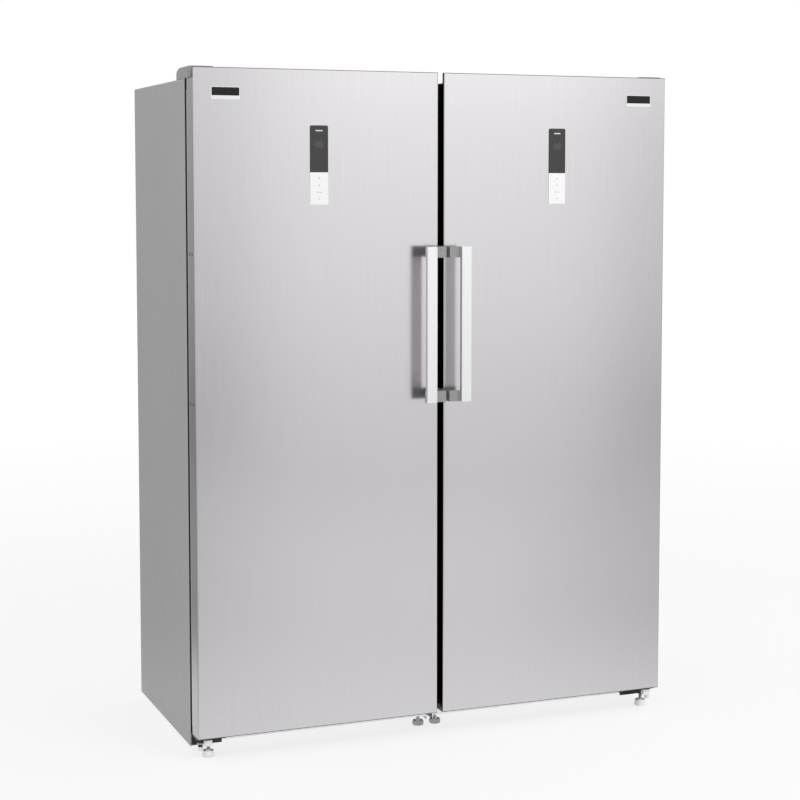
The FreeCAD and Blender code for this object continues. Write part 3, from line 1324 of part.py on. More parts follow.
os.makedirs("parts", exist_ok=True)
for label, piece in nodes.items():
    shape = piece.Shape
    if shape.isNull() or not shape.isValid() or not shape.Solids:
        raise RuntimeError(f"{label} has no valid solid")
    piece.Label = label
    print(f"{label}: {len(shape.Solids)} solid(s), {shape.Volume / 1000:.1f} cm3")
    shape.exportStep(f"parts/{label}.step")
print(f"{len(nodes)} nodes")
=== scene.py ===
"""Looks of twin upright columns, a freezer and a refrigerator that stand side by side.

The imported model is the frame. Each section is one piece or group of like pieces, in the order in
which the object is put together. Lengths are in metres, +Z is up and the doors face -Y.
"""
import json

import bmesh
import bpy
import numpy as np
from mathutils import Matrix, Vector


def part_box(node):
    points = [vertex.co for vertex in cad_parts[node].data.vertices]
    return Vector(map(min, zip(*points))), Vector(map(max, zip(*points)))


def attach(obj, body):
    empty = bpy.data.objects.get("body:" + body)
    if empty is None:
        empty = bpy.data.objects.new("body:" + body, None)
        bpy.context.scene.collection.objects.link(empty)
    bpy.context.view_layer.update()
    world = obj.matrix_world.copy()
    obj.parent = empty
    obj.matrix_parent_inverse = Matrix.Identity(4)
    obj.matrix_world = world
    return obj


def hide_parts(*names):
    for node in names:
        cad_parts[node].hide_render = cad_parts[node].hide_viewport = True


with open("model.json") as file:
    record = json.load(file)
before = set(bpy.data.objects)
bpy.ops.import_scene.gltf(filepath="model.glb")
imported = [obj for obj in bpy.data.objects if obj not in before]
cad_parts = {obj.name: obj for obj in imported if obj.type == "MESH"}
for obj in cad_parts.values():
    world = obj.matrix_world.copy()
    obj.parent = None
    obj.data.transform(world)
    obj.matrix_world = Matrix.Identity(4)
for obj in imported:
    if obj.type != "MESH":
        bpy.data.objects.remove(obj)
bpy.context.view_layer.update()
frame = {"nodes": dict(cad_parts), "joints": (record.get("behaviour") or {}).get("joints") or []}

# Base frames: folded from bright galvanised sheet and screwed under each cabinet. The front lip is
# the plinth that shows below the doors, and the rear half is the tray for the machinery.

COLUMNS = ("freezer", "fridge")
NOISE_SPAN = (0.25, 0.75)


def rgba(colour):
    """Opaque colour from a triple, or a grey from one number."""
    return (*np.broadcast_to(colour, 3), 1.0)


def shader_of(material):
    """The material's one shader."""
    return material.node_tree.nodes["Principled BSDF"]


def add(tree, kind, sources=()):
    """New shader node of a kind. Its inputs, by name or number, take a signal or a constant."""
    node = tree.nodes.new("ShaderNode" + kind)
    for socket, source in dict(sources).items():
        if isinstance(source, bpy.types.NodeSocket):
            tree.links.new(source, node.inputs[socket])
        else:
            node.inputs[socket].default_value = source
    return node


def clouds(material, size, stretch=(1, 1, 1), detail=2.0):
    """Signal of soft noise over the piece, in patches of about size, drawn out along each axis."""
    tree = material.node_tree
    scale = add(tree, "Mapping", {"Vector": add(tree, "TexCoord").outputs["Object"],
                                  "Scale": [1 / (size * longer) for longer in stretch]})
    noise = add(tree, "TexNoise", {"Vector": scale.outputs["Vector"], "Scale": 1.0,
                                   "Detail": detail})
    return noise.outputs["Fac"]


def cells(material, size):
    """Signal of rounded cells of about size over the piece."""
    tree = material.node_tree
    place = add(tree, "TexCoord").outputs["Object"]
    return add(tree, "TexVoronoi", {"Vector": place, "Scale": 1 / size}).outputs["Distance"]


def stretched(tree, signal, start, end, first, last):
    """Signal that runs from first to last while another runs from start to end."""
    return add(tree, "MapRange", {"Value": signal, "From Min": start, "From Max": end,
                                  "To Min": first, "To Max": last}).outputs["Result"]


def shade(material, signal, dark, light):
    """Base colour that runs from dark to light over the middle half of a signal."""
    tree = material.node_tree
    ramp = add(tree, "ValToRGB", {"Fac": signal})
    for stop, colour, at in zip(ramp.color_ramp.elements, (dark, light), NOISE_SPAN):
        stop.color = rgba(colour)
        stop.position = at
    tree.links.new(ramp.outputs["Color"], shader_of(material).inputs["Base Color"])


def roughen(material, signal, low, high):
    """Roughness from low to high over the middle half of a signal."""
    tree = material.node_tree
    spread = stretched(tree, signal, *NOISE_SPAN, low, high)
    tree.links.new(spread, shader_of(material).inputs["Roughness"])


def emboss(material, signal, depth):
    """Bump that stands up by depth where a signal is strong."""
    tree = material.node_tree
    bump = add(tree, "Bump", {"Height": signal, "Distance": depth})
    tree.links.new(bump.outputs["Normal"], shader_of(material).inputs["Normal"])


def finish(name, colour, roughness, metallic=0.0, tones=None, gloss=None, bumps=None, more=()):
    """New material: one shader with its constants on its own sockets, more of them by name. Tones,
    gloss and bumps each give the patch size of a noise, then the two colours, two roughnesses or
    depth it drives."""
    made = bpy.data.materials.new(name)
    made.use_nodes = True
    sockets = shader_of(made).inputs
    sockets["Base Color"].default_value = rgba(colour)
    sockets["Roughness"].default_value = roughness
    sockets["Metallic"].default_value = metallic
    for socket, value in dict(more).items():
        sockets[socket].default_value = value
    for work, values in ((shade, tones), (roughen, gloss), (emboss, bumps)):
        if values:
            work(made, clouds(made, values[0]), *values[1:])
    return made


def dress(material, *names):
    """Give CAD nodes a material."""
    for name in names:
        slots = frame["nodes"][name].data.materials
        slots.clear()
        slots.append(material)


def both(part):
    """Names of a piece of each column."""
    return [f"{column}_{part}" for column in COLUMNS]


galvanised = finish("galvanised", (0.82, 0.83, 0.84), 0.34, 1.0, gloss=(0.02, 0.28, 0.42))
shade(galvanised, cells(galvanised, 0.012), (0.79, 0.80, 0.81), (0.86, 0.87, 0.88))
dress(galvanised, *both("base_frame"))

# Rear rollers: black nylon wheels on plain steel axles, held between plates under the tray.

black_nylon = finish("black_nylon", (0.022, 0.022, 0.024), 0.5, gloss=(0.004, 0.42, 0.6),
                     bumps=(0.0006, 0.00003))
dress(black_nylon, *both("outer_roller"), *both("inner_roller"))

plated_steel = finish("plated_steel", (0.56, 0.56, 0.57), 0.32, 1.0,
                      tones=(0.006, (0.50, 0.50, 0.51), (0.62, 0.62, 0.63)),
                      gloss=(0.003, 0.26, 0.4))
dress(plated_steel, "roller_axles")

# Levelling feet: white nylon discs with fine grip ridges at the outer corners, low cast hexagons at
# the inner ones. Each has a dished top with a washer and a collar, and a stud that screws upwards.

FOOT_DISC_HEIGHT = 0.018
FOOT_HEXAGON_HEIGHT = 0.013
FOOT_DISH_DEPTH = 0.004
FOOT_RIDGE_COUNT = 36
FOOT_RIDGE_HEIGHT = 0.00035
FOOT_WASHER_GAUGE = 0.0016
FOOT_WASHER_SHARE = 0.67
FOOT_COLLAR_HEIGHT = 0.0042
FOOT_COLLAR_SHARE = 0.52
HEXAGON_CHAMFER = 0.0010
HEXAGON_CONE = (0.0, 1.04, 1.16, 1.16, 1.04, 0.92, 0.88)
HEXAGON_POINTS = 96
STUD_RADIUS = 0.005
STUD_CLEARANCE = 0.0003
STUD_POINTS = 36
THREAD_PITCH = 0.0015
THREAD_DEPTH = 0.0006
THREAD_ROWS = 6
RING_POINTS = 48
WELD_DISTANCE = 1e-6
SHARP_ANGLE = 40


def quads(rows, columns, around=True, closed=False):
    """Faces of a grid of points kept row after row; around joins the last column to the first,
    and closed joins the last row to the first."""
    row, column = np.meshgrid(np.arange(rows if closed else rows - 1),
                              np.arange(columns if around else columns - 1), indexing="ij")
    below, beside = (row + 1) % rows, (column + 1) % columns
    corners = [row * columns + column, row * columns + beside,
               below * columns + beside, below * columns + column]
    return np.stack(corners, axis=-1).reshape(-1, 4)


def patch(points, around=True, closed=False):
    """A grid of points, rows by columns by three, with its faces."""
    return points.reshape(-1, 3), quads(*points.shape[:2], around, closed)


def make_piece(name, patches, material, body, replaced=()):
    """One piece from patches: joined, welded at seams and poles, faces turned outwards, dressed,
    and riding on a body."""
    points, faces = zip(*patches)
    starts = np.cumsum([0] + [len(part) for part in points])
    mesh = bpy.data.meshes.new(name)
    mesh.from_pydata(np.concatenate(points), [],
                     np.concatenate([part + start for part, start in zip(faces, starts)]))
    shell = bmesh.new()
    shell.from_mesh(mesh)
    bmesh.ops.remove_doubles(shell, verts=shell.verts, dist=WELD_DISTANCE)
    bmesh.ops.recalc_face_normals(shell, faces=shell.faces)
    shell.to_mesh(mesh)
    shell.free()
    mesh.shade_smooth()
    mesh.set_sharp_from_angle(angle=np.radians(SHARP_ANGLE))
    mesh.materials.append(material)
    piece = bpy.data.objects.new(name, mesh)
    bpy.context.scene.collection.objects.link(piece)
    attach(piece, body)
    if replaced:
        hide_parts(*replaced)


def turned(radius, height, x, y):
    """Surface of revolution about an upright axis: a radius for each row and turn, at a height."""
    turn = np.linspace(0, 2 * np.pi, radius.shape[1], endpoint=False)
    return patch(np.stack([x + radius * np.cos(turn), y + radius * np.sin(turn),
                           np.broadcast_to(height, radius.shape)], axis=-1))


def foot_disc(rim, x, y):
    """Disc turned from a profile of radius against height. Its wall swells by a cosine of the turn,
    which makes the grip ridges, and its top is dished round the stud."""
    top = FOOT_DISC_HEIGHT
    dish = top - FOOT_DISH_DEPTH
    profile = np.array([
        (0.0, 0.0, 0), (rim - 0.0024, 0.0, 0), (rim - 0.0010, 0.0006, 0), (rim - 0.0005, 0.0018, 0),
        (rim - 0.0005, 0.0026, 1), (rim - 0.0012, top - 0.0046, 1), (rim - 0.0012, top - 0.0038, 0),
        (rim - 0.0015, top - 0.0010, 0), (rim - 0.0022, top - 0.0002, 0), (rim - 0.0030, top, 0),
        (rim - 0.0042, top - 0.0006, 0), (rim - 0.0052, dish, 0), (STUD_RADIUS, dish, 0),
        (0.0, dish, 0)])
    radius, height, ridged = profile.T[:, :, None]
    turn = np.linspace(0, 2 * np.pi, 4 * FOOT_RIDGE_COUNT, endpoint=False)
    ridge = FOOT_RIDGE_HEIGHT * np.cos(FOOT_RIDGE_COUNT * turn)
    return turned(radius + ridged * ridge, height, x, y)


def foot_hexagon(flat, x, y):
    """Hexagon turned as a solid whose radius is the lesser of two: the flat distance over the
    cosine of the turn from the middle of each side, and a cone that breaks the corners at both
    ends. Its top is dished round the stud."""
    top = FOOT_HEXAGON_HEIGHT
    dish = top - FOOT_DISH_DEPTH
    turn = np.linspace(0, 2 * np.pi, HEXAGON_POINTS, endpoint=False)
    off_middle = (turn + np.pi / 6) % (np.pi / 3) - np.pi / 6
    sides = flat / np.cos(off_middle)
    cone = np.array([*(share * flat for share in HEXAGON_CONE), STUD_RADIUS, 0.0])
    height = np.array([0.0, 0.0, HEXAGON_CHAMFER, top - HEXAGON_CHAMFER, top, top,
                       dish, dish, dish])
    return turned(np.minimum(sides, cone[:, None]), height[:, None], x, y)


def threaded_stud(foot, head, x, y):
    """Stud whose radius follows a thread: a triangle wave of height over pitch less the turn."""
    rows = int(round((head - foot) / THREAD_PITCH * THREAD_ROWS))
    height = np.linspace(foot, head, rows)[:, None]
    turn = np.linspace(0, 2 * np.pi, STUD_POINTS, endpoint=False)
    wave = np.abs((height / THREAD_PITCH - turn / (2 * np.pi)) % 1.0 - 0.5) * 2
    pole = np.zeros((1, STUD_POINTS))
    radius = np.vstack([pole, STUD_RADIUS - THREAD_DEPTH * wave, pole])
    return turned(radius, np.vstack([height[:1], height, height[-1:]]), x, y)


def flat_ring(inner, outer, floor, gauge, x, y):
    """Washer: a rectangle of inner and outer radius, floor and gauge, turned about an axis."""
    radius = np.array([inner, outer, outer, inner, inner])[:, None]
    height = floor + gauge * np.array([0, 0, 1, 1, 0])[:, None]
    return turned(np.tile(radius, (1, RING_POINTS)), height, x, y)


white_nylon = finish("white_nylon", (0.96, 0.96, 0.95), 0.4,
                     tones=(0.01, (0.94, 0.94, 0.93), (0.97, 0.97, 0.96)), gloss=(0.003, 0.34, 0.5),
                     bumps=(0.0007, 0.00003))
cast_zinc = finish("cast_zinc", 0.44, 0.42, 0.5, tones=(0.006, 0.41, 0.47),
                   gloss=(0.003, 0.36, 0.52), bumps=(0.0007, 0.00004))

for column in COLUMNS:
    for place, form, top, material, slot, ring in (
            ("hinge", foot_disc, FOOT_DISC_HEIGHT, white_nylon, "socket_white", cast_zinc),
            ("inner", foot_hexagon, FOOT_HEXAGON_HEIGHT, cast_zinc, "foot_grey", black_nylon)):
        node = f"{column}_{place}_foot"
        low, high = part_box(node)
        x, y = (low.x + high.x) / 2, (low.y + high.y) / 2
        rim = (high.x - low.x) / 2
        dish = top - FOOT_DISH_DEPTH
        make_piece(f"{node}_base", [form(rim, x, y)], material, node, [node])
        washer = flat_ring(STUD_RADIUS + STUD_CLEARANCE, FOOT_WASHER_SHARE * rim, dish,
                           FOOT_WASHER_GAUGE, x, y)
        make_piece(f"{node}_washer", [washer], ring, node)
        collar = flat_ring(STUD_RADIUS - THREAD_DEPTH, FOOT_COLLAR_SHARE * rim,
                           dish + FOOT_WASHER_GAUGE, FOOT_COLLAR_HEIGHT, x, y)
        make_piece(f"{node}_collar", [collar], white_nylon, node)
        stud = threaded_stud(dish, high.z, x, y)
        make_piece(f"{node}_stud", [stud], plated_steel, node)

# Foot sockets: black nylon nuts with softened corners under the lower hinges, bored for the studs
# of the outer feet. A white block is moulded on in front of each, under the door.

SOCKET_WIDTH = 0.021
SOCKET_CORNER = 0.0024
SOCKET_CHAMFER = 0.001
SOCKET_BORE = 2 * STUD_RADIUS + STUD_CLEARANCE


def rings(width, depth, radius, corner=6, side=0):
    """Rectangles with round corners about the origin, one for each width, depth and radius. Each
    quarter circle has corner points, and side more points divide the straight run after it."""
    width, depth, radius = (np.atleast_1d(size)[:, None, None]
                            for size in np.broadcast_arrays(width, depth, radius))
    turn = np.arange(4)[:, None] * np.pi / 2 + np.linspace(0, np.pi / 2, corner)
    right = (width / 2 - radius) * np.array([[1], [-1], [-1], [1]]) + radius * np.cos(turn)
    back = (depth / 2 - radius) * np.array([[1], [1], [-1], [-1]]) + radius * np.sin(turn)
    arcs = np.stack([right, back], axis=-1)
    leave = arcs[:, :, -1:]
    arrive = np.roll(arcs[:, :, :1], -1, axis=1)
    share = np.linspace(0, 1, side + 2)[1:-1, None]
    runs = leave + (arrive - leave) * share
    return np.concatenate([arcs, runs], axis=2).reshape(len(arcs), -1, 2)


def upright(plan, height):
    """Points of plan rings, each raised to its height."""
    level = np.asarray(height, float).reshape(len(plan), -1, 1)
    return np.concatenate([plan, np.broadcast_to(level, (*plan.shape[:2], 1))], axis=-1)


def soft_block(low, high, radius, steps=3):
    """Block with rounded edges: rounded outlines stacked upwards that draw in by a quarter circle
    at each end and close on the middle."""
    low, high = np.array(low, float), np.array(high, float)
    turn = np.linspace(0, np.pi / 2, steps)
    draw = radius * (1 - np.sin(turn))
    rise = radius * (1 - np.cos(turn))
    draw = np.concatenate([[radius], draw, draw[::-1], [radius]])
    height = np.concatenate([[low[2]], low[2] + rise, (high[2] - rise)[::-1], [high[2]]])
    size = high - low
    plan = rings(size[0] - 2 * draw, size[1] - 2 * draw, np.maximum(radius - draw, 0), corner=4)
    plan[[0, -1]] = 0
    return patch(upright(plan + (low + high)[:2] / 2, height))


def foot_nut(x, y, floor, roof):
    """Ring of square and round outlines: up the outside, in to the bore, down it and out again."""
    outer, bore = SOCKET_WIDTH, SOCKET_BORE
    ends = outer - 2 * SOCKET_CHAMFER
    width = np.array([ends, outer, outer, ends, bore, bore])
    radius = np.array([SOCKET_CORNER] * 4 + [bore / 2] * 2)
    height = [floor, floor + SOCKET_CHAMFER, roof - SOCKET_CHAMFER, roof, roof, floor]
    return patch(upright(rings(width, width, radius) + (x, y), height), closed=True)


low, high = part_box("foot_sockets")
nuts, blocks = [], []
for column, outside in zip(COLUMNS, (low.x, high.x - SOCKET_WIDTH)):
    foot_low, foot_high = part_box(f"{column}_hinge_foot")
    x, y = (foot_low.x + foot_high.x) / 2, (foot_low.y + foot_high.y) / 2
    nuts.append(foot_nut(x, y, low.z, high.z))
    corner = outside + SOCKET_WIDTH, high.y - SOCKET_WIDTH, high.z
    blocks.append(soft_block((outside, low.y, low.z), corner, SOCKET_CHAMFER))
make_piece("outer_foot_sockets", blocks, white_nylon, "cabinets", ["foot_sockets"])
make_piece("outer_foot_nuts", nuts, black_nylon, "cabinets")

# Compressors and condensers: enamelled steel domes on rubber feet and finned tube coils, both on
# the tray behind the food compartments. The evaporators behind the air ducts are like coils.

black_enamel = finish("black_enamel", (0.018, 0.018, 0.019), 0.3, gloss=(0.02, 0.24, 0.4),
                      bumps=(0.002, 0.00004))
dress(black_enamel, "compressors")

mill_aluminium = finish("mill_aluminium", (0.70, 0.70, 0.71), 0.36, 1.0,
                        tones=(0.02, (0.62, 0.62, 0.63), (0.74, 0.74, 0.75)),
                        gloss=(0.004, 0.3, 0.46))
dress(mill_aluminium, "condensers", "evaporators")

# Machine covers: coated sheet over the machinery at the back. The louvres are pressed out of the
# sheet as hoods that are open below, screws hold the corners, and a black gland guides the cord.

LOUVRE_ROWS = 8
LOUVRE_PITCH = 0.016
LOUVRE_WIDTH = 0.150
LOUVRE_OFFSET = 0.65 * LOUVRE_WIDTH
HOOD_LIFT = 0.0055
HOOD_HEIGHT = 0.011
HOOD_GAUGE = 0.0008
COVER_SCREW_INSET = 0.020
COVER_SCREW_RISE = 0.016
COVER_SCREW_DROP = 0.014
HEAD_RADIUS = 0.0045
HEAD_RISE = 0.0022
HEAD_FALL = 0.7
HEAD_RINGS = (0, 0.08, 0.16, 0.24, 0.32, 0.40, 0.5, 0.65, 0.8, 0.92, 1.0)
CROSS_REACH = 0.5
CROSS_HALF_WIDTH = 0.09
CROSS_DEPTH = 0.45


def louvre_hood(x, top, sheet):
    """Pressed hood: it leaves the sheet along its top edge and both ends, and stands off most at
    its lower lip, as a quarter sine downwards times a flat-topped bell across. The inner side is
    the same surface, drawn back by the gauge."""
    across = np.linspace(-1, 1, 21)
    down = np.linspace(0, 1, 7)[:, None]
    bell = 1 - across ** 8
    lift = HOOD_LIFT * np.sin(down * np.pi / 2) * bell
    depth = np.concatenate([lift, (lift - HOOD_GAUGE * bell)[::-1]])
    height = np.concatenate([top - HOOD_HEIGHT * down, (top - HOOD_HEIGHT * down)[::-1]])
    points = np.broadcast_arrays(x + across * LOUVRE_WIDTH / 2, sheet + depth, height)
    return patch(np.stack(points, axis=-1), around=False, closed=True)


def screw_head(place, outward, radius=HEAD_RADIUS, rise=HEAD_RISE):
    """Domed head on a polar grid: its height falls with the fourth power of the radius, less a
    cross-shaped recess in its middle. The last two rows are its foot and the middle below."""
    share = np.array(HEAD_RINGS)[:, None]
    turn = np.linspace(0, 2 * np.pi, RING_POINTS, endpoint=False)
    right, up = share * np.cos(turn), share * np.sin(turn)
    cross = np.minimum(np.abs(right), np.abs(up)) < CROSS_HALF_WIDTH
    recess = np.where(cross & (share < CROSS_REACH), CROSS_DEPTH * rise, 0.0)
    height = rise * (1 - HEAD_FALL * share ** 4) - recess
    right = np.concatenate([right, right[-1:], 0 * right[:1]]) * radius
    up = np.concatenate([up, up[-1:], 0 * up[:1]]) * radius
    height = np.concatenate([height, 0 * height[:1], 0 * height[:1]])
    axis = np.array(outward, float)
    side, other = (np.roll(np.abs(axis), steps) for steps in (1, 2))
    points = np.array(place, float) + right[..., None] * side + up[..., None] * other
    return patch(points + height[..., None] * axis)


coated_sheet = finish("coated_sheet", (0.62, 0.63, 0.64), 0.42,
                      tones=(0.25, (0.59, 0.60, 0.61), (0.64, 0.65, 0.66)),
                      gloss=(0.05, 0.36, 0.48), bumps=(0.0012, 0.00002))
dress(coated_sheet, "machine_covers")
cover_low, cover_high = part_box("machine_covers")
hoods, cover_screws = [], []
for column in COLUMNS:
    low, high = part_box(f"{column}_door_skin")
    middle = (low.x + high.x) / 2
    edge = (high.x - low.x) / 2 - COVER_SCREW_INSET
    for side in (-1, 1):
        for row in range(LOUVRE_ROWS):
            level = cover_high.z - (2 + row) * LOUVRE_PITCH + HOOD_HEIGHT / 2
            hoods.append(louvre_hood(middle + side * LOUVRE_OFFSET, level, cover_high.y))
        for level in (cover_low.z + COVER_SCREW_RISE, cover_high.z - COVER_SCREW_DROP):
            cover_screws.append(screw_head((middle + side * edge, cover_high.y, level), (0, 1, 0)))
make_piece("machine_cover_louvres", hoods, coated_sheet, "cabinets")
make_piece("machine_cover_screws", cover_screws, plated_steel, "cabinets")
dress(black_nylon, "cord_glands")

# Cabinets: each is one painted steel sheet folded over the sides and top, with painted shade in
# near black on the flange round the front for the shadow of the gap behind the doors. A back panel
# with flush screws closes it, foam fills the walls, and a black strip joins the two.

FLANGE_SHADE_REACH = 0.0008
BACK_SCREW_LEVELS = 7
BACK_SCREW_INSET = 0.010
BACK_SCREW_END = 0.020
FLUSH_RISE = 0.00005


def worked(tree, operation, *sources):
    """Result of a maths operation on signals or numbers."""
    node = add(tree, "Math", enumerate(sources))
    node.operation = operation
    return node.outputs["Value"]


def along(tree, axis):
    """Signal of where a point of the piece lies along an axis."""
    place = add(tree, "TexCoord").outputs["Object"]
    return add(tree, "SeparateXYZ", {"Vector": place}).outputs[axis]


def band(material, axis, place, reach):
    """Signal that is 1 where a point lies within reach of a place along an axis, else 0."""
    return worked(material.node_tree, "COMPARE", along(material.node_tree, axis), place, reach)


def overpaint(material, mask, colour):
    """Cover the base colour with another one where a mask is 1."""
    tree = material.node_tree
    socket = shader_of(material).inputs["Base Color"]
    under = socket.links[0].from_socket
    cover = add(tree, "Mix", {"Factor": mask})
    cover.data_type = "RGBA"
    ground = [entry for entry in cover.inputs if entry.name in ("A", "B") and entry.type == "RGBA"]
    ground[1].default_value = rgba(colour)
    tree.links.new(under, ground[0])
    tree.links.new([entry for entry in cover.outputs if entry.type == "RGBA"][0], socket)


shell_low, shell_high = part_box("freezer_cabinet_shell")
side_paint = finish("side_paint", 0.405, 0.45, tones=(0.5, 0.395, 0.415), gloss=(0.03, 0.42, 0.5),
                    bumps=(0.0016, 0.00001))
# Painted shade: the front face of the flange is painted near black for the shadow in the gap
# between the doors and the cabinet.
overpaint(side_paint, band(side_paint, "Y", shell_low.y, FLANGE_SHADE_REACH), (0.03, 0.03, 0.032))
dress(side_paint, *both("cabinet_shell"))

dress(coated_sheet, "back_panels")
panel_low, panel_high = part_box("back_panels")
back_heads = []
for column in COLUMNS:
    low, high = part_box(f"{column}_cabinet_shell")
    for level in np.linspace(panel_low.z + BACK_SCREW_END, panel_high.z - BACK_SCREW_END,
                             BACK_SCREW_LEVELS):
        for x in (low.x + BACK_SCREW_INSET, high.x - BACK_SCREW_INSET):
            back_heads.append(screw_head((x, panel_high.y, level), (0, 1, 0), rise=FLUSH_RISE))
make_piece("back_panel_screws", back_heads, plated_steel, "cabinets")

wall_foam = finish("wall_foam", (0.80, 0.70, 0.44), 0.85,
                   tones=(0.03, (0.74, 0.63, 0.38), (0.84, 0.75, 0.50)))
emboss(wall_foam, cells(wall_foam, 0.002), 0.0003)
dress(wall_foam, *both("insulation"), *both("door_foam"))

black_extrusion = finish("black_extrusion", 0.012, 0.6)
roughen(black_extrusion, clouds(black_extrusion, 0.01, (1, 1, 20)), 0.52, 0.7)
dress(black_extrusion, "joining_strip")

# Cabinet liners: white plastic sheet drawn over a mould, so every corner is round. The front edge
# rolls over the steel flange, the floor steps up over the machinery, and ledges carry the shelves.

LINER_GAUGE = 0.002
LINER_CORNER = 0.014
LINER_LIP = 0.008
LIP_DRAW = (0.1, 0.4, 0.9, 1.0)
LIP_STAND = (0.0018, 0.0022, 0.0022, 0.0010)
STEP_DEPTH = 0.209
STEP_HEIGHT = 0.210
STEP_SLOPE = 0.105
STEP_BLEND = 0.008
SHELF_COUNT = 5
LEDGE_WIDTH = 0.014
LEDGE_HEIGHT = 0.008
LEDGE_ROUND = 0.0025


def facing(plan, depth):
    """Points of rings that lie across the depth, each set at its own depth."""
    level = np.broadcast_to(np.asarray(depth)[:, None], plan.shape[:2])
    return np.stack([plan[..., 0], level, plan[..., 1]], axis=-1)


def blended(corners, reach, steps=5):
    """Polyline whose inner corners are parabolas that leave both runs at a reach from them."""
    corners = np.array(corners, float)
    before, corner, after = corners[:-2], corners[1:-1], corners[2:]
    start, end = (corner + run / np.linalg.norm(run, axis=1, keepdims=True) * reach
                  for run in (before - corner, after - corner))
    share = np.linspace(0, 1, steps)[None, :, None]
    curves = ((1 - share) ** 2 * start[:, None] + 2 * share * (1 - share) * corner[:, None]
              + share ** 2 * end[:, None])
    return np.concatenate([corners[:1], curves.reshape(-1, 2), corners[-1:]])


def room_skin(left, right, front, rear, floor, roof, grow):
    """One side of the liner, front to rear: rounded outlines across the room whose floor follows
    the stepped line, drawn in by a quarter circle at the rear wall and closed on its middle."""
    step = rear - STEP_DEPTH
    high = floor + STEP_HEIGHT
    line = blended([(front, floor), (step, floor), (step, high - STEP_SLOPE),
                    (step + STEP_SLOPE, high), (rear - LINER_CORNER, high)], STEP_BLEND)
    turn = np.linspace(0, np.pi / 2, 6)[1:]
    draw = np.concatenate([np.zeros(len(line)), LINER_CORNER * (1 - np.cos(turn))])
    depth = np.concatenate([line[:, 0], rear - LINER_CORNER + LINER_CORNER * np.sin(turn)])
    base = np.concatenate([line[:, 1], np.full(len(turn), high)]) + draw
    top = roof - draw
    plan = rings(right - left - 2 * draw + 2 * grow, top - base + 2 * grow, LINER_CORNER)
    middle = np.stack([np.full(len(base), (left + right) / 2), (base + top) / 2], axis=-1)
    outline = plan + middle[:, None]
    pole = np.broadcast_to(outline[-1:].mean(axis=1, keepdims=True), outline[-1:].shape)
    outline = np.concatenate([outline, pole])
    return facing(outline, np.concatenate([depth, depth[-1:]]) + grow)


white_sheet = finish("white_sheet", (0.84, 0.85, 0.85), 0.28,
                     tones=(0.4, (0.82, 0.83, 0.83), (0.86, 0.87, 0.87)), gloss=(0.3, 0.29, 0.33))

shelf_low, shelf_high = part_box("freezer_shelves")
SHELF_GAUGE = 0.005
SHELF_PITCH = (shelf_high.z - shelf_low.z - SHELF_GAUGE) / (SHELF_COUNT - 1)
shelf_levels = [shelf_low.z + SHELF_PITCH * index for index in range(SHELF_COUNT)]

for column in COLUMNS:
    low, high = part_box(f"{column}_liner")
    left, right = low.x + LINER_GAUGE, high.x - LINER_GAUGE
    floor, roof = low.z + LINER_GAUGE, high.z - LINER_GAUGE
    rear = high.y - LINER_GAUGE
    inner = room_skin(left, right, low.y, rear, floor, roof, 0.0)
    outer = room_skin(left, right, low.y, rear, floor, roof, LINER_GAUGE / 2)
    spread = 2 * LINER_LIP * np.array(LIP_DRAW)
    lip = rings(right - left + spread, roof - floor + spread, LINER_CORNER)
    lip = facing(lip + ((left + right) / 2, (floor + roof) / 2), low.y - np.array(LIP_STAND))
    patches = [patch(np.concatenate([inner[::-1], lip, outer]))]
    for level in shelf_levels:
        for wall, edge in ((left - LINER_GAUGE / 2, left + LEDGE_WIDTH),
                           (right - LEDGE_WIDTH, right + LINER_GAUGE / 2)):
            patches.append(soft_block((wall, shelf_low.y, level - LEDGE_HEIGHT),
                                      (edge, shelf_high.y, level), LEDGE_ROUND))
    make_piece(f"{column}_formed_liner", patches, white_sheet, "cabinets",
               [f"{column}_liner"])

# Air ducts and fans: white moulded ducts on the rear walls with slotted grilles. A small motor
# behind each grille turns a dark plastic fan.

white_moulding = finish("white_moulding", (0.80, 0.81, 0.81), 0.45,
                        tones=(0.2, (0.78, 0.79, 0.79), (0.82, 0.83, 0.83)),
                        gloss=(0.01, 0.4, 0.52), bumps=(0.0009, 0.00004))
dress(white_moulding, *both("air_duct"))
dark_moulding = finish("dark_moulding", (0.05, 0.05, 0.052), 0.5, gloss=(0.005, 0.42, 0.58),
                       bumps=(0.0008, 0.00003))
dress(dark_moulding, *both("fan"), "fan_motors")

# Lamps: a frosted lens clipped to the roof of each compartment, over the front of the top shelf.

LAMP_LENGTH = 0.26
LAMP_DEPTH = 0.024
LAMP_HEIGHT = 0.007
LAMP_SETBACK = 0.110
LAMP_ROUND = 0.003

frosted_lens = finish("frosted_lens", (0.92, 0.93, 0.93), 0.5, gloss=(0.001, 0.42, 0.6),
                      more={"Subsurface Weight": 0.4, "Subsurface Radius": (0.01, 0.01, 0.01)})
emboss(frosted_lens, cells(frosted_lens, 0.003), 0.0001)
for column in COLUMNS:
    low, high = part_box(f"{column}_liner")
    x, y, roof = (low.x + high.x) / 2, low.y + LAMP_SETBACK, high.z - LINER_GAUGE
    lens = soft_block((x - LAMP_LENGTH / 2, y - LAMP_DEPTH / 2, roof - LAMP_HEIGHT),
                      (x + LAMP_LENGTH / 2, y + LAMP_DEPTH / 2, roof + LINER_GAUGE / 2), LAMP_ROUND)
    make_piece(f"{column}_lamp_lens", [lens], frosted_lens, "cabinets")

# Shelves: toughened glass on the ledges, with a satin aluminium rail clipped over each front edge.

RAIL_DEPTH = 0.008
RAIL_RISE = 0.0015
RAIL_DROP = 0.004
RAIL_ROUND = 0.002

shelf_glass = finish("shelf_glass", (0.90, 0.97, 0.95), 0.03, gloss=(0.08, 0.01, 0.05),
                     more={"Transmission Weight": 1.0, "IOR": 1.5})
dress(shelf_glass, *both("shelves"))

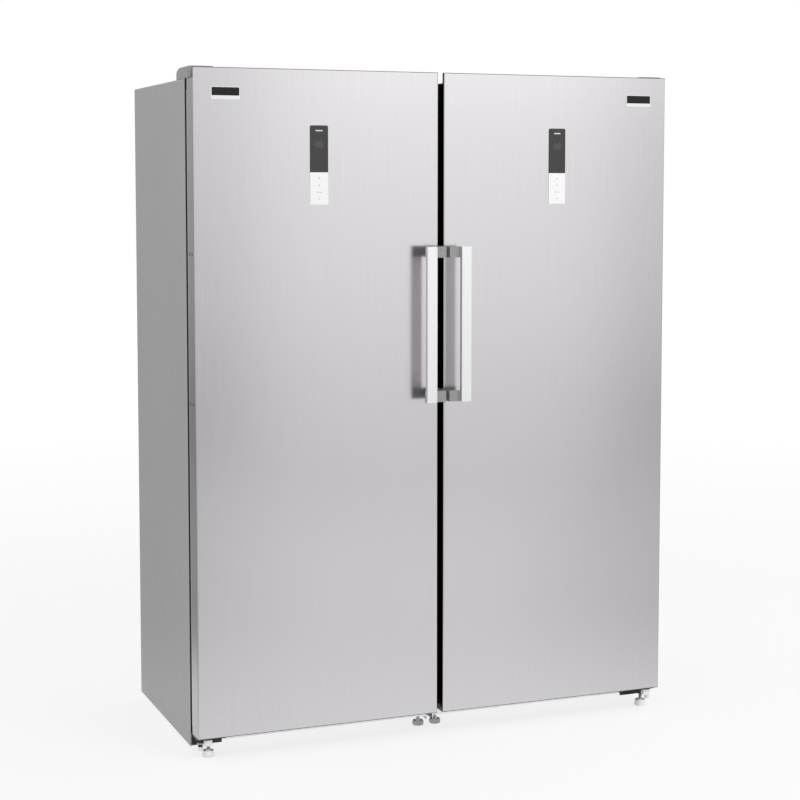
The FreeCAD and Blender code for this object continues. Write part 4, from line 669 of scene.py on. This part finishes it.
satin_rail = finish("satin_rail", (0.74, 0.74, 0.75), 0.34, 1.0)
roughen(satin_rail, clouds(satin_rail, 0.0008, (60, 1, 1)), 0.28, 0.42)
emboss(satin_rail, clouds(satin_rail, 0.0006, (80, 1, 1)), 0.00001)
for column in COLUMNS:
    low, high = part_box(f"{column}_shelves")
    rails = [soft_block((low.x, low.y - RAIL_DEPTH, level - RAIL_DROP),
                        (high.x, low.y, level + SHELF_GAUGE + RAIL_RISE), RAIL_ROUND)
             for level in shelf_levels]
    make_piece(f"{column}_shelf_rails", rails, satin_rail, "cabinets")

# Drawers: clear plastic trays moulded with a draft, a rounded floor and a stiff flange round the
# rim. The rim dips at the front so that a hand can take hold of it.

TRAY_WALL = 0.0025
TRAY_DRAFT = 0.010
TRAY_FLANGE = 0.005
TRAY_FLANGE_HEIGHT = 0.012
TRAY_FLOOR_ROUND = 0.012
TRAY_CORNER = 0.018
TRAY_LEAST_CORNER = 0.004
TRAY_EDGE_ROUND = 0.0012
TRAY_SIDE_POINTS = 36
TRAY_BLEND_HEIGHT = 0.09
DRAWER_HEIGHT = 0.245
LOW_DRAWER_HEIGHT = 0.195
LOW_DRAWER_BACK = 0.084
GRIP_WIDTH = 0.200
GRIP_DEPTH = 0.032
GRIP_BLEND = 0.030
CRISPER_GAP = 0.012


def moulded_tray(low, high, dip_side, dip_width, dip_depth, dip_blend):
    """Tray as rounded outlines carried up the outside, over the flange and down the inside. Each
    row has an inset from the rim's outline and a height. Near the rim the rows sink by the dip: a
    smooth step in x along one side, faded out over the blend height below."""
    low, high = np.array(low, float), np.array(high, float)
    width, depth, height = high - low
    under = TRAY_FLANGE + TRAY_DRAFT
    skirt = height - TRAY_FLANGE_HEIGHT
    outside = [(under + TRAY_FLOOR_ROUND, 0.0), (under + 0.3 * TRAY_FLOOR_ROUND, 0.0012),
               (under, TRAY_FLOOR_ROUND), (under - 0.5 * TRAY_DRAFT, 0.5 * height),
               (TRAY_FLANGE + 0.1 * TRAY_DRAFT, 0.8 * height), (TRAY_FLANGE, skirt - 0.002)]
    rim = [(0.0008, skirt), (0.0, skirt + 0.001), (0.0, height - TRAY_EDGE_ROUND),
           (TRAY_EDGE_ROUND, height), (TRAY_FLANGE + TRAY_WALL - 0.001, height)]
    inside = [(inset + TRAY_WALL, max(level, TRAY_WALL)) for inset, level in reversed(outside)]
    inside[0] = (TRAY_FLANGE + TRAY_WALL, height - 0.003)
    inset, level = np.array(outside + rim + inside).T
    radius = np.maximum(TRAY_CORNER - 0.6 * inset, TRAY_LEAST_CORNER)
    plan = rings(width - 2 * inset, depth - 2 * inset, radius, corner=5, side=TRAY_SIDE_POINTS)
    poles = np.zeros((1, *plan.shape[1:]))
    plan = np.concatenate([poles, plan, poles])
    level = np.concatenate([[0.0], level, [TRAY_WALL]])[:, None]
    nearness = np.clip((dip_width / 2 + dip_blend - np.abs(plan[..., 0])) / dip_blend, 0, 1)
    nearness = nearness ** 2 * (3 - 2 * nearness)
    on_side = dip_side * plan[..., 1] > depth / 2 - under - TRAY_WALL - 0.004
    fade_height = TRAY_BLEND_HEIGHT - 2 * TRAY_FLANGE_HEIGHT
    fade = np.clip((level - height + TRAY_BLEND_HEIGHT) / fade_height, 0, 1)
    sunk = level - dip_depth * nearness * on_side * fade
    return patch(upright(plan + (low + high)[:2] / 2, low[2] + sunk))


clear_plastic = finish("clear_plastic", (0.93, 0.955, 0.965), 0.12, gloss=(0.02, 0.09, 0.17),
                       bumps=(0.006, 0.00004), more={"Transmission Weight": 0.86, "IOR": 1.49})

low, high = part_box("freezer_drawers")
grip = (-1, GRIP_WIDTH, GRIP_DEPTH, GRIP_BLEND)
drawers = [moulded_tray(low, (high.x, LOW_DRAWER_BACK, low.z + LOW_DRAWER_HEIGHT), *grip)]
for level in shelf_levels[:-1]:
    floor = level + SHELF_GAUGE
    drawers.append(moulded_tray((low.x, low.y, floor), (high.x, high.y, floor + DRAWER_HEIGHT),
                                *grip))
make_piece("freezer_clear_drawers", drawers, clear_plastic, "cabinets",
           ["freezer_drawers"])

low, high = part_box("crisper_drawers")
middle = (low.x + high.x) / 2
spans = (low.x, middle - CRISPER_GAP / 2), (middle + CRISPER_GAP / 2, high.x)
crispers = [moulded_tray((left, low.y, low.z), (right, high.y, high.z),
                         -1, GRIP_WIDTH / 2, GRIP_DEPTH, GRIP_BLEND) for left, right in spans]
make_piece("fridge_clear_crispers", crispers, clear_plastic, "cabinets",
           ["crisper_drawers"])

# Door skins: brushed stainless sheet with a fingerprint coat, folded back along both edges. The
# grain runs upwards. The returns at the opening edges are painted near black as painted shade for
# the gap between the doors, those at the hinge edges grey as painted shade on the side away from
# the light and darker painted shade beside the hinge notch, and a dark joint shows along both hems.

EDGE_SHADE_REACH = 0.0010
HEM_JOINT = 0.0018
NOTCH_CLEARANCE = 0.002

brushed_steel = finish("brushed_steel", (0.66, 0.638, 0.66), 0.18, 1.0)
grain = clouds(brushed_steel, 0.0011, (1, 1, 260), 3.0)
shade(brushed_steel, grain, (0.64, 0.618, 0.64), (0.68, 0.658, 0.68))
skin_low, skin_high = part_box("freezer_door_skin")
# Painted shade: the returns at the opening edges are painted near black for the deep shadow in the
# gap between the doors.
for inner_edge in (skin_high.x, -skin_high.x):
    shaded_inner_return = band(brushed_steel, "X", inner_edge, EDGE_SHADE_REACH)
    overpaint(brushed_steel, shaded_inner_return, (0.012, 0.012, 0.013))
# Painted shade: the hinge-side returns beside the hinge notch are painted darker still for the
# notch's shadow.
notch_depth = skin_high.z - shell_high.z + NOTCH_CLEARANCE
notch_shadow_band = band(brushed_steel, "Z", skin_high.z, notch_depth)
# Painted shade: the returns at the hinge edges are painted grey because that side faces away from
# the light.
for outer_edge in (skin_low.x, -skin_low.x):
    shaded_outer_return = band(brushed_steel, "X", outer_edge, EDGE_SHADE_REACH)
    overpaint(brushed_steel, shaded_outer_return, (0.47, 0.47, 0.475))
    shaded = worked(brushed_steel.node_tree, "MULTIPLY", shaded_outer_return, notch_shadow_band)
    overpaint(brushed_steel, shaded, (0.13, 0.13, 0.132))
for hem in (skin_low.z, skin_high.z):
    overpaint(brushed_steel, band(brushed_steel, "Z", hem, HEM_JOINT), 0.16)
roughen(brushed_steel, clouds(brushed_steel, 0.0016, (1, 1, 120)), 0.16, 0.21)
emboss(brushed_steel, grain, 0.000003)
dress(brushed_steel, *both("door_skin"))

# Door end caps: grained grey mouldings that close the folded skin at top and bottom and take the
# hinge pins. The covers over the top hinges are moulded from the same grey.

grey_moulding = finish("grey_moulding", (0.345, 0.345, 0.348), 0.5,
                       tones=(0.05, (0.33, 0.33, 0.333), (0.36, 0.36, 0.363)),
                       gloss=(0.004, 0.44, 0.58), bumps=(0.0007, 0.00005))
dress(grey_moulding, *both("door_end_caps"), "hinge_covers")

# Door liners: white plastic sheet formed over the inside of each door, with a raised rim that
# reaches into the cabinet and rounded shoulders along it.

RIM_INSET = 0.068
RIM_WIDTH = 0.034
RIM_CLEARANCE = 0.008
RIM_ROUND = 0.006
RIM_INNER_CORNER = 0.008
RIM_FOOT = 0.002
SHEET_CORNER = 0.001


def formed_door_liner(low, high, room_floor, room_roof):
    """Rounded outlines from the middle of the hidden face out to the edge, over the sheet, up the
    rim's outer side, across its crest, down the inner side and in to the middle. Both shoulders of
    the rim are quarter circles."""
    flat, crest = low.y + LINER_GAUGE, high.y
    turn = np.linspace(0, np.pi / 2, 5)
    swing, rise = RIM_ROUND * (1 - np.cos(turn)), RIM_ROUND * (1 - np.sin(turn))
    far_side = RIM_INSET + RIM_WIDTH
    draw = np.concatenate([[0.0, 0.0, RIM_INSET - RIM_FOOT], RIM_INSET + swing,
                           (far_side - swing)[::-1], [far_side + RIM_FOOT]])
    depth = np.concatenate([[low.y, flat, flat], crest - rise, (crest - rise)[::-1], [flat]])
    rim_floor, rim_roof = room_floor + RIM_CLEARANCE, room_roof - RIM_CLEARANCE
    within = np.clip(draw / RIM_INSET, 0, 1)
    beyond = np.clip(draw - RIM_INSET, 0, None)
    floor = low.z + within * (rim_floor - low.z) + beyond
    roof = high.z - within * (high.z - rim_roof) - beyond
    corner = np.select([draw < RIM_INSET / 2, draw < RIM_INSET + RIM_WIDTH / 2],
                       [SHEET_CORNER, RIM_ROUND], RIM_INNER_CORNER)
    middle = np.stack([np.full(len(draw), (low.x + high.x) / 2), (floor + roof) / 2], axis=-1)
    plan = rings(high.x - low.x - 2 * draw, roof - floor, corner) + middle[:, None]
    centre = np.broadcast_to(plan[-1:].mean(axis=1, keepdims=True), plan[-1:].shape)
    return patch(facing(np.concatenate([centre, plan, centre]),
                        np.concatenate([depth[:1], depth, depth[-1:]])))


for column in COLUMNS:
    room_low, room_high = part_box(f"{column}_liner")
    formed = formed_door_liner(*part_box(f"{column}_door_liner"), room_low.z + LINER_GAUGE,
                               room_high.z - LINER_GAUGE)
    make_piece(f"{column}_formed_door_liner", [formed], white_sheet, f"{column}_door",
               [f"{column}_door_liner"])

# Door gaskets: soft dark vinyl, pushed into the door along a foot. Bellows behind the magnet bulb
# let it give, a thin lip hides the joint, and the corners are mitred.

GASKET_SECTION = [
    (0.0050, 0.0000), (0.0190, 0.0000), (0.0215, 0.0014), (0.0200, 0.0034), (0.0228, 0.0058),
    (0.0196, 0.0086), (0.0214, 0.0112), (0.0210, 0.0150), (0.0196, 0.0177), (0.0070, 0.0177),
    (0.0044, 0.0166), (0.0008, 0.0160), (0.0006, 0.0150), (0.0050, 0.0138), (0.0052, 0.0112),
    (0.0078, 0.0086), (0.0030, 0.0056), (0.0058, 0.0030), (0.0034, 0.0012)]
GASKET_CORNER = 0.0012


def rounded_loop(points, steps=4):
    """Closed curve through points, each stretch a cubic whose slopes come from the neighbours."""
    here = np.array(points, float)[:, None]
    before, after, beyond = np.roll(here, 1, 0), np.roll(here, -1, 0), np.roll(here, -2, 0)
    share = np.linspace(0, 1, steps, endpoint=False)[None, :, None]
    curve = (here + 0.5 * share * (after - before)
             + share ** 2 * (before - 2.5 * here + 2 * after - 0.5 * beyond)
             + share ** 3 * (1.5 * (here - after) + 0.5 * (beyond - before)))
    return curve.reshape(-1, 2)


def swept_gasket(low, high):
    """The section carried round the door: its first number is the inset from the gasket's outer
    edge and its second the height over the door's inside. Stays within the foot and the seal."""
    section = rounded_loop(GASKET_SECTION)
    inset = np.clip(section[:, 0], 0, None)
    rise = np.clip(section[:, 1], 0, high.y - low.y)
    plan = rings(high.x - low.x - 2 * inset, high.z - low.z - 2 * inset, GASKET_CORNER, corner=3)
    plan = plan + ((low.x + high.x) / 2, (low.z + high.z) / 2)
    return patch(facing(plan, low.y + rise), closed=True)


dark_vinyl = finish("dark_vinyl", (0.045, 0.045, 0.048), 0.55,
                    tones=(0.02, (0.04, 0.04, 0.042), (0.052, 0.052, 0.055)),
                    gloss=(0.004, 0.48, 0.64), bumps=(0.001, 0.00003))
for column in COLUMNS:
    node = f"{column}_door_gasket"
    make_piece(f"{column}_swept_gasket", [swept_gasket(*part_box(node))], dark_vinyl,
               f"{column}_door", [node])

# Door bins: the same clear moulding as the drawers, hooked between the rim's sides on the
# refrigerator door, with a lower front so that bottles can be lifted out.

BIN_COUNT = 5
BIN_HEIGHT = 0.110
BIN_DIP = 0.026
BIN_DIP_BLEND = 0.050

low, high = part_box("fridge_door_bins")
bin_pitch = (high.z - low.z - BIN_HEIGHT) / (BIN_COUNT - 1)
bin_floors = [low.z + bin_pitch * index for index in range(BIN_COUNT)]
bins = [moulded_tray((low.x, low.y, floor), (high.x, high.y, floor + BIN_HEIGHT), 1,
                     high.x - low.x - 4 * BIN_DIP_BLEND, BIN_DIP, BIN_DIP_BLEND)
        for floor in bin_floors]
make_piece("fridge_clear_bins", bins, clear_plastic, "fridge_door",
           ["fridge_door_bins"])

# Control panels: a smoked window over the digits and a white touch plate below it, set into the
# door skin. The digits and the key marks are printed on the faces.

PRINT_RISE = 0.00012
DIGIT_DROP = 0.050
DIGIT_WIDTH = 0.0072
DIGIT_HEIGHT = 0.0150
DIGIT_PITCH = 0.0112
MINUS_SHIFT = 1.35 * DIGIT_PITCH
STROKE = 0.0011
LAMP_BAR_DROP = 0.0140
LAMP_BAR_SIZE = (0.0200, 0.0032)
KEY_DROPS = (0.0150, 0.0345, 0.0530, 0.0710)
KEY_SIZE = 0.0034
KEY_BAR_WIDTH = 4.2 * KEY_SIZE
KEY_ARM = 0.35 * KEY_SIZE


def plate(x, z, width, height, radius, back, thickness, bevel=0.0, tilt=0.0):
    """Flat plate that faces the front: a rounded outline carried forward from back by the
    thickness, drawn in by the bevel at its face and closed on the middle of both faces. Tilt turns
    it."""
    draw = np.array([0.0, 0.0, 0.0, bevel, bevel])
    ahead = np.array([0.0, 0.0, thickness - bevel, thickness, thickness])
    plan = rings(width - 2 * draw, height - 2 * draw, np.maximum(radius - draw, 0.0))
    plan[[0, -1]] = 0
    turn = np.array([[np.cos(tilt), np.sin(tilt)], [-np.sin(tilt), np.cos(tilt)]])
    return patch(facing(plan @ turn + (x, z), back - ahead))


def mark(x, z, width, height, face, tilt=0.0):
    """Printed stroke with round ends on a face."""
    return plate(x, z, width, height, min(width, height) / 2, face, PRINT_RISE, tilt=tilt)


def digit_eight(x, z, face):
    """The seven strokes of a segment digit, all lit."""
    wide, tall = DIGIT_WIDTH - STROKE, DIGIT_HEIGHT / 2 - STROKE
    strokes = [mark(x, z + step * DIGIT_HEIGHT / 2, wide, STROKE, face) for step in (-1, 0, 1)]
    for side in (-1, 1):
        for step in (-1, 1):
            strokes.append(mark(x + side * DIGIT_WIDTH / 2, z + step * DIGIT_HEIGHT / 4,
                                STROKE, tall, face))
    return strokes


smoked_window = finish("smoked_window", (0.030, 0.028, 0.030), 0.22,
                       tones=(0.02, (0.028, 0.026, 0.028), (0.033, 0.031, 0.033)),
                       gloss=(0.01, 0.18, 0.28))
dress(smoked_window, *both("display"))
touch_plate = finish("touch_plate", (0.91, 0.90, 0.91), 0.25,
                     tones=(0.03, (0.90, 0.89, 0.90), (0.92, 0.91, 0.92)), gloss=(0.008, 0.2, 0.32))
dress(touch_plate, *both("keypad"))

digit_print = finish("digit_print", (0.16, 0.16, 0.165), 0.4,
                     tones=(0.003, (0.13, 0.13, 0.135), (0.18, 0.18, 0.185)))
bar_print = finish("bar_print", 0.72, 0.4, tones=(0.003, 0.66, 0.76))
key_print = finish("key_print", (0.30, 0.30, 0.31), 0.45,
                   tones=(0.003, (0.27, 0.27, 0.28), (0.34, 0.34, 0.35)))

for column in COLUMNS:
    low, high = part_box(f"{column}_display")
    x, face = (low.x + high.x) / 2, low.y
    z = high.z - DIGIT_DROP
    digits = digit_eight(x - DIGIT_PITCH / 2, z, face) + digit_eight(x + DIGIT_PITCH / 2, z, face)
    digits.append(mark(x - MINUS_SHIFT, z, 2 * STROKE, STROKE, face))
    make_piece(f"{column}_digits", digits, digit_print, f"{column}_door")
    lamp_bar = mark(x, high.z - LAMP_BAR_DROP, *LAMP_BAR_SIZE, face)
    make_piece(f"{column}_lamp_bar", [lamp_bar], bar_print, f"{column}_door")
    ring_key, plus_key, bar_key, down_key = (low.z - drop for drop in KEY_DROPS)
    keys = [mark(x, ring_key, KEY_SIZE, KEY_SIZE, face),
            mark(x, plus_key, KEY_SIZE, STROKE, face),
            mark(x, plus_key, STROKE, KEY_SIZE, face),
            mark(x, bar_key, KEY_BAR_WIDTH, STROKE, face),
            mark(x - KEY_ARM, down_key, KEY_SIZE, STROKE, face, np.pi / 4),
            mark(x + KEY_ARM, down_key, KEY_SIZE, STROKE, face, -np.pi / 4)]
    make_piece(f"{column}_key_marks", keys, key_print, f"{column}_door")

# Corner plates: a thin bevelled plate of bright metal glued to the outer top corner of each door,
# with a dark enamel field over its upper part. Both are left blank.

CORNER_PLATE = (0.080, 0.034)
CORNER_PLATE_INSET = 0.048
CORNER_PLATE_DROP = 0.050
CORNER_PLATE_GAUGE = 0.0016
CORNER_PLATE_ROUND = 0.002
CORNER_PLATE_BEVEL = 0.0006
ENAMEL_FIELD = (0.075, 0.0215)
ENAMEL_DROP = 0.0020
ENAMEL_RISE = 0.0003
ENAMEL_ROUND = 0.0012
ENAMEL_BEVEL = 0.0002

bright_plate = finish("bright_plate", (0.80, 0.80, 0.81), 0.25, 1.0)
roughen(bright_plate, clouds(bright_plate, 0.0006, (40, 1, 1)), 0.2, 0.34)
dark_enamel = finish("dark_enamel", (0.014, 0.013, 0.014), 0.3,
                     tones=(0.01, (0.012, 0.011, 0.012), (0.016, 0.015, 0.016)),
                     gloss=(0.004, 0.25, 0.38), more={"Specular IOR Level": 0.2})
for column, outward in zip(COLUMNS, (-1, 1)):
    low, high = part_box(f"{column}_door_skin")
    outer_edge = low.x if outward < 0 else high.x
    x = outer_edge - outward * (CORNER_PLATE_INSET + CORNER_PLATE[0] / 2)
    top = high.z - CORNER_PLATE_DROP
    base = plate(x, top - CORNER_PLATE[1] / 2, *CORNER_PLATE, CORNER_PLATE_ROUND,
                 low.y, CORNER_PLATE_GAUGE, CORNER_PLATE_BEVEL)
    make_piece(f"{column}_corner_plate", [base], bright_plate, f"{column}_door")
    field = plate(x, top - ENAMEL_DROP - ENAMEL_FIELD[1] / 2, *ENAMEL_FIELD, ENAMEL_ROUND,
                  low.y - CORNER_PLATE_GAUGE, ENAMEL_RISE, ENAMEL_BEVEL)
    make_piece(f"{column}_corner_field", [field], dark_enamel, f"{column}_door")

# Edge plugs: small dark press-in plugs on the hinge side of each door. They close the spare screw
# holes that take the handle when the door is hung the other way round.

PLUG_RADIUS = 0.0050
PLUG_DEPTHS = (0.0196, 0.0448)
PLUG_END = 0.015


def edge_heads(edge, outward, front, floor, roof, *size):
    """Heads on the edge of a door: one behind the other near each end of the handle's height."""
    return [screw_head((edge, front + depth, level), (outward, 0, 0), *size)
            for level in (floor + PLUG_END, roof - PLUG_END) for depth in PLUG_DEPTHS]


for column, outward in zip(COLUMNS, (-1, 1)):
    low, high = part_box(f"{column}_door_skin")
    bar_low, bar_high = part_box(f"{column}_handle_bar")
    edge = low.x if outward < 0 else high.x
    plugs = edge_heads(edge, outward, low.y, bar_low.z, bar_high.z, PLUG_RADIUS, FLUSH_RISE)
    make_piece(f"{column}_edge_plugs", plugs, dark_moulding, f"{column}_door")

# Handles: a flat satin anodised bar with softened edges on two grey painted angle brackets, which
# reach round the opening edge of the door and are screwed to it from the side.

satin_bar = finish("satin_bar", (0.885, 0.89, 0.895), 0.36, 1.0)
roughen(satin_bar, clouds(satin_bar, 0.0007, (1, 1, 80)), 0.3, 0.44)
emboss(satin_bar, clouds(satin_bar, 0.0005, (1, 1, 120)), 0.000006)
dress(satin_bar, *both("handle_bar"))
bracket_paint = finish("bracket_paint", (0.30, 0.30, 0.305), 0.42, 0.25,
                       tones=(0.01, (0.28, 0.28, 0.285), (0.32, 0.32, 0.325)),
                       gloss=(0.002, 0.36, 0.5), bumps=(0.0008, 0.00003))
dress(bracket_paint, *both("handle_brackets"))

for column, inward in zip(COLUMNS, (1, -1)):
    skin_low, skin_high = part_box(f"{column}_door_skin")
    leg_low, leg_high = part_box(f"{column}_handle_brackets")
    leg_face = leg_high.x if inward > 0 else leg_low.x
    heads = edge_heads(leg_face, inward, skin_low.y, leg_low.z, leg_high.z)
    make_piece(f"{column}_handle_screw_heads", heads, plated_steel, f"{column}_door",
               [f"{column}_handle_screws"])

# Hinges: plated plates on the cabinet tops under moulded covers, and black powder-coated brackets
# on the plinth below, all held by cross-head screws. A white nylon washer and cap sit under each
# lower pin.

PIN_BOSS_RADIUS = 0.0085
PIN_BOSS_DROP = 0.012
PIN_NUT_RADIUS = 0.0060
PIN_NUT_HEIGHT = 0.010
PIN_WASHER_GAUGE = 0.0018
PIN_CAP_RADIUS = 0.0074
PIN_CAP_HEIGHT = 0.011
PIN_CAP_PROFILE = ((0.0, 0.0), (1.0, 0.0), (1.0, 0.86), (0.95, 0.95), (0.84, 1.0), (0.0, 1.0))
TOP_SCREWS = ((0.0026, 0.0342), (0.0312, 0.0342), (0.0312, 0.0722))
LOWER_SCREW_INSETS = (0.0168, 0.0756)
LOWER_SCREW_HEIGHT = 0.040
HINGE_GAUGE = 0.004

dress(plated_steel, "top_hinges")
black_powder = finish("black_powder", (0.016, 0.016, 0.017), 0.42, gloss=(0.004, 0.36, 0.52),
                      bumps=(0.0012, 0.00005))
dress(black_powder, "bottom_hinges")


def pin_cap(x, y, roof):
    """Cap turned from a profile of shares of its radius and height, rounded at the lower rim."""
    radius, drop = np.array(PIN_CAP_PROFILE).T[:, :, None]
    radius = np.tile(PIN_CAP_RADIUS * radius, (1, RING_POINTS))
    return turned(radius, roof - PIN_CAP_HEIGHT * drop, x, y)


hinge_heads, pin_caps = [], []
boss_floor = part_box("foot_sockets")[1].z - PIN_BOSS_DROP
for joint in frame["joints"]:
    if not joint["name"].endswith("door_swing"):
        continue
    axis_x, axis_y = joint["pos_m"][:2]
    inward = -np.sign(axis_x)
    pin_caps.append(pin_cap(axis_x, axis_y, boss_floor - PIN_NUT_HEIGHT))
    pin_caps.append(flat_ring(PIN_NUT_RADIUS, PIN_BOSS_RADIUS, boss_floor - PIN_WASHER_GAUGE,
                              PIN_WASHER_GAUGE, axis_x, axis_y))
    for across, behind in TOP_SCREWS:
        place = axis_x + inward * across, shell_low.y + behind, shell_high.z + HINGE_GAUGE
        hinge_heads.append(screw_head(place, (0, 0, 1)))
    for inset in LOWER_SCREW_INSETS:
        place = inward * (inset + shell_low.x), shell_low.y - HINGE_GAUGE, LOWER_SCREW_HEIGHT
        hinge_heads.append(screw_head(place, (0, -1, 0)))
make_piece("hinge_screw_heads", hinge_heads, plated_steel, "cabinets",
           ["hinge_screws"])
make_piece("hinge_pin_caps", pin_caps, white_nylon, "cabinets")

# Studio: a wide pale floor that fades into a white background, a high soft key light from the
# right of the camera, two dim panels that glow in the doors, pale walls far off that only the metal
# mirrors, and an even fill from all round.

AMBIENT = 0.80
FLOOR_SIZE = 60.0
FLOOR_NEAR, FLOOR_FAR, FLOOR_ASIDE = 0.89, 0.67, 0.62
ASIDE_AXIS = (0.933, 0.360, 0.0)
ASIDE_OFFSET = 0.2
ASIDE_START, ASIDE_END = 0.3, 1.2
SHADOW_SHARE = 0.22
FADE_START, FADE_END = 2.2, 6.0
MIRROR_START, MIRROR_END = 0.6, 1.8
WALL_DISTANCE = 9.0
WALL_TONES = ((0.0, 0.57), (0.5, 0.69), (1.0, 0.75), (1.5, 0.80), (2.3, 0.89), (4.0, 1.0))
WALL_HEIGHT = WALL_TONES[-1][0]
WALL_POINTS = 72
REAR_START, REAR_END = 0.4, 1.0
REAR_SHARE = 0.6
LIGHTS = (    # name, place, aim, span, watts
    ("key_light", (1.7, -3.6, 4.4), (0.0, -0.3, 1.0), (2.4, 2.4), 60.0),
    ("door_glow", (2.40, -4.7, 3.1), (0.1, -0.3, 1.7), (2.4, 2.2), 2.2),
    ("door_strip", (1.85, -4.8, 1.75), (0.0, -0.3, 1.75), (2.0, 3.4), 6.6))
CAMERA_PLACE = (-1.914, -4.845, 1.5306)
CAMERA_PITCH = 4.53
CAMERA_HEADING = -21.51
CAMERA_LENS = 80.5
CAMERA_SHIFT = -0.0875
CAMERA_REACH = 100.0

scene = bpy.context.scene
scene.view_settings.view_transform = "Standard"


def stage_piece(name, points, faces, material):
    """Piece of the studio from points and faces, which is no part of the object."""
    mesh = bpy.data.meshes.new(name)
    mesh.from_pydata(points, [], faces)
    mesh.materials.append(material)
    made = bpy.data.objects.new(name, mesh)
    scene.collection.objects.link(made)
    return made


def soft_light(name, place, aim, span, watts):
    """Flat lamp of a width and height at a place, turned to face its aim."""
    lamp = bpy.data.lights.new(name, "AREA")
    lamp.shape = "RECTANGLE"
    lamp.size, lamp.size_y = span
    lamp.energy = watts
    holder = bpy.data.objects.new(name, lamp)
    holder.location = place
    across, back, up = np.array(aim) - np.array(place)
    lean = np.arctan2(np.hypot(across, back), -up)
    holder.rotation_euler = (lean, 0.0, np.arctan2(-across, back))
    holder.visible_camera = False
    scene.collection.objects.link(holder)


world = bpy.data.worlds.new("studio_white")
world.use_nodes = True
scene.world = world
tree = world.node_tree
rays = add(tree, "LightPath").outputs
fill = tree.nodes["Background"]
fill.inputs["Color"].default_value = rgba(1.0)
fill.inputs["Strength"].default_value = AMBIENT
white = add(tree, "Background", {"Color": rgba(1.0), "Strength": 1.0})
seen = worked(tree, "MAXIMUM", rays["Is Camera Ray"], rays["Is Transmission Ray"])
seen = worked(tree, "MAXIMUM", seen, rays["Is Glossy Ray"])
choose = add(tree, "MixShader", {"Fac": seen, 1: fill.outputs["Background"],
                                 2: white.outputs["Background"]})
tree.links.new(choose.outputs["Shader"], tree.nodes["World Output"].inputs["Surface"])

floor_paper = finish("floor_paper", FLOOR_NEAR, 0.9, more={"Specular IOR Level": 0.0})
paper = shader_of(floor_paper)
tree = floor_paper.node_tree
rays = add(tree, "LightPath").outputs
place = add(tree, "TexCoord").outputs["Object"]
reach = add(tree, "VectorMath", {0: place})
reach.operation = "LENGTH"
distance = reach.outputs["Value"]
aside = add(tree, "VectorMath", {0: place, 1: ASIDE_AXIS})
aside.operation = "DOT_PRODUCT"
off_axis = worked(tree, "ABSOLUTE", worked(tree, "ADD", aside.outputs["Value"], ASIDE_OFFSET))
rear = stretched(tree, along(tree, "Y"), REAR_START, REAR_END, 1.0, REAR_SHARE)
far_tone = stretched(tree, distance, FADE_START, FADE_END, FLOOR_NEAR, FLOOR_FAR)
aside_tone = stretched(tree, off_axis, ASIDE_START, ASIDE_END, FLOOR_NEAR, FLOOR_ASIDE)
dimmed = worked(tree, "MULTIPLY", worked(tree, "MINIMUM", far_tone, aside_tone), rear)
pale = add(tree, "Mix", {"Factor": rays["Is Glossy Ray"], "A": FLOOR_NEAR, "B": dimmed})
tree.links.new(pale.outputs["Result"], paper.inputs["Base Color"])
near = worked(tree, "MULTIPLY", stretched(tree, distance, MIRROR_START, MIRROR_END, 1.0, 0.0), rear)
seen = worked(tree, "MAXIMUM", rays["Is Camera Ray"], rays["Is Transmission Ray"])
seen = worked(tree, "MAXIMUM", seen, worked(tree, "MULTIPLY", rays["Is Glossy Ray"], near))
bright = stretched(tree, distance, FADE_START, FADE_END, 1 - SHADOW_SHARE, 1.0)
blend = add(tree, "MixShader", {"Fac": worked(tree, "MULTIPLY", seen, bright),
                                1: paper.outputs["BSDF"],
                                2: add(tree, "Emission").outputs["Emission"]})
tree.links.new(blend.outputs["Shader"], tree.nodes["Material Output"].inputs["Surface"])

half = FLOOR_SIZE / 2
floor_corners = [(-half, -half, 0), (half, -half, 0), (half, half, 0), (-half, half, 0)]
stage_piece("studio_floor", floor_corners, [(0, 1, 2, 3)], floor_paper)

wall_tone = bpy.data.materials.new("wall_tone")
wall_tone.use_nodes = True
tree = wall_tone.node_tree
height = stretched(tree, along(tree, "Z"), 0.0, WALL_HEIGHT, 0.0, 1.0)
tones = add(tree, "ValToRGB", {"Fac": height})
stops = tones.color_ramp.elements
for index, (level, tone) in enumerate(WALL_TONES):
    if index > 1:
        stops.new(level / WALL_HEIGHT)
    stops[index].position = level / WALL_HEIGHT
    stops[index].color = rgba(tone)
rear = stretched(tree, along(tree, "Y"), REAR_START, REAR_END, 1.0, REAR_SHARE)
glow = add(tree, "Emission", {"Color": tones.outputs["Color"], "Strength": rear})
tree.links.new(glow.outputs["Emission"], tree.nodes["Material Output"].inputs["Surface"])
round_wall = turned(np.full((2, WALL_POINTS), WALL_DISTANCE), np.array([[0.0], [WALL_HEIGHT]]),
                    0.0, 0.0)
walls = stage_piece("studio_walls", *round_wall, wall_tone)
walls.visible_camera = walls.visible_diffuse = False
walls.visible_transmission = walls.visible_shadow = False

for light in LIGHTS:
    soft_light(*light)

camera = bpy.data.cameras.new("photo_camera")
camera.lens = CAMERA_LENS
camera.shift_y = CAMERA_SHIFT
camera.clip_end = CAMERA_REACH
camera_object = bpy.data.objects.new("photo_camera", camera)
camera_object.location = CAMERA_PLACE
camera_object.rotation_euler = np.radians((90 - CAMERA_PITCH, 0.0, CAMERA_HEADING))
scene.collection.objects.link(camera_object)
scene.camera = camera_object
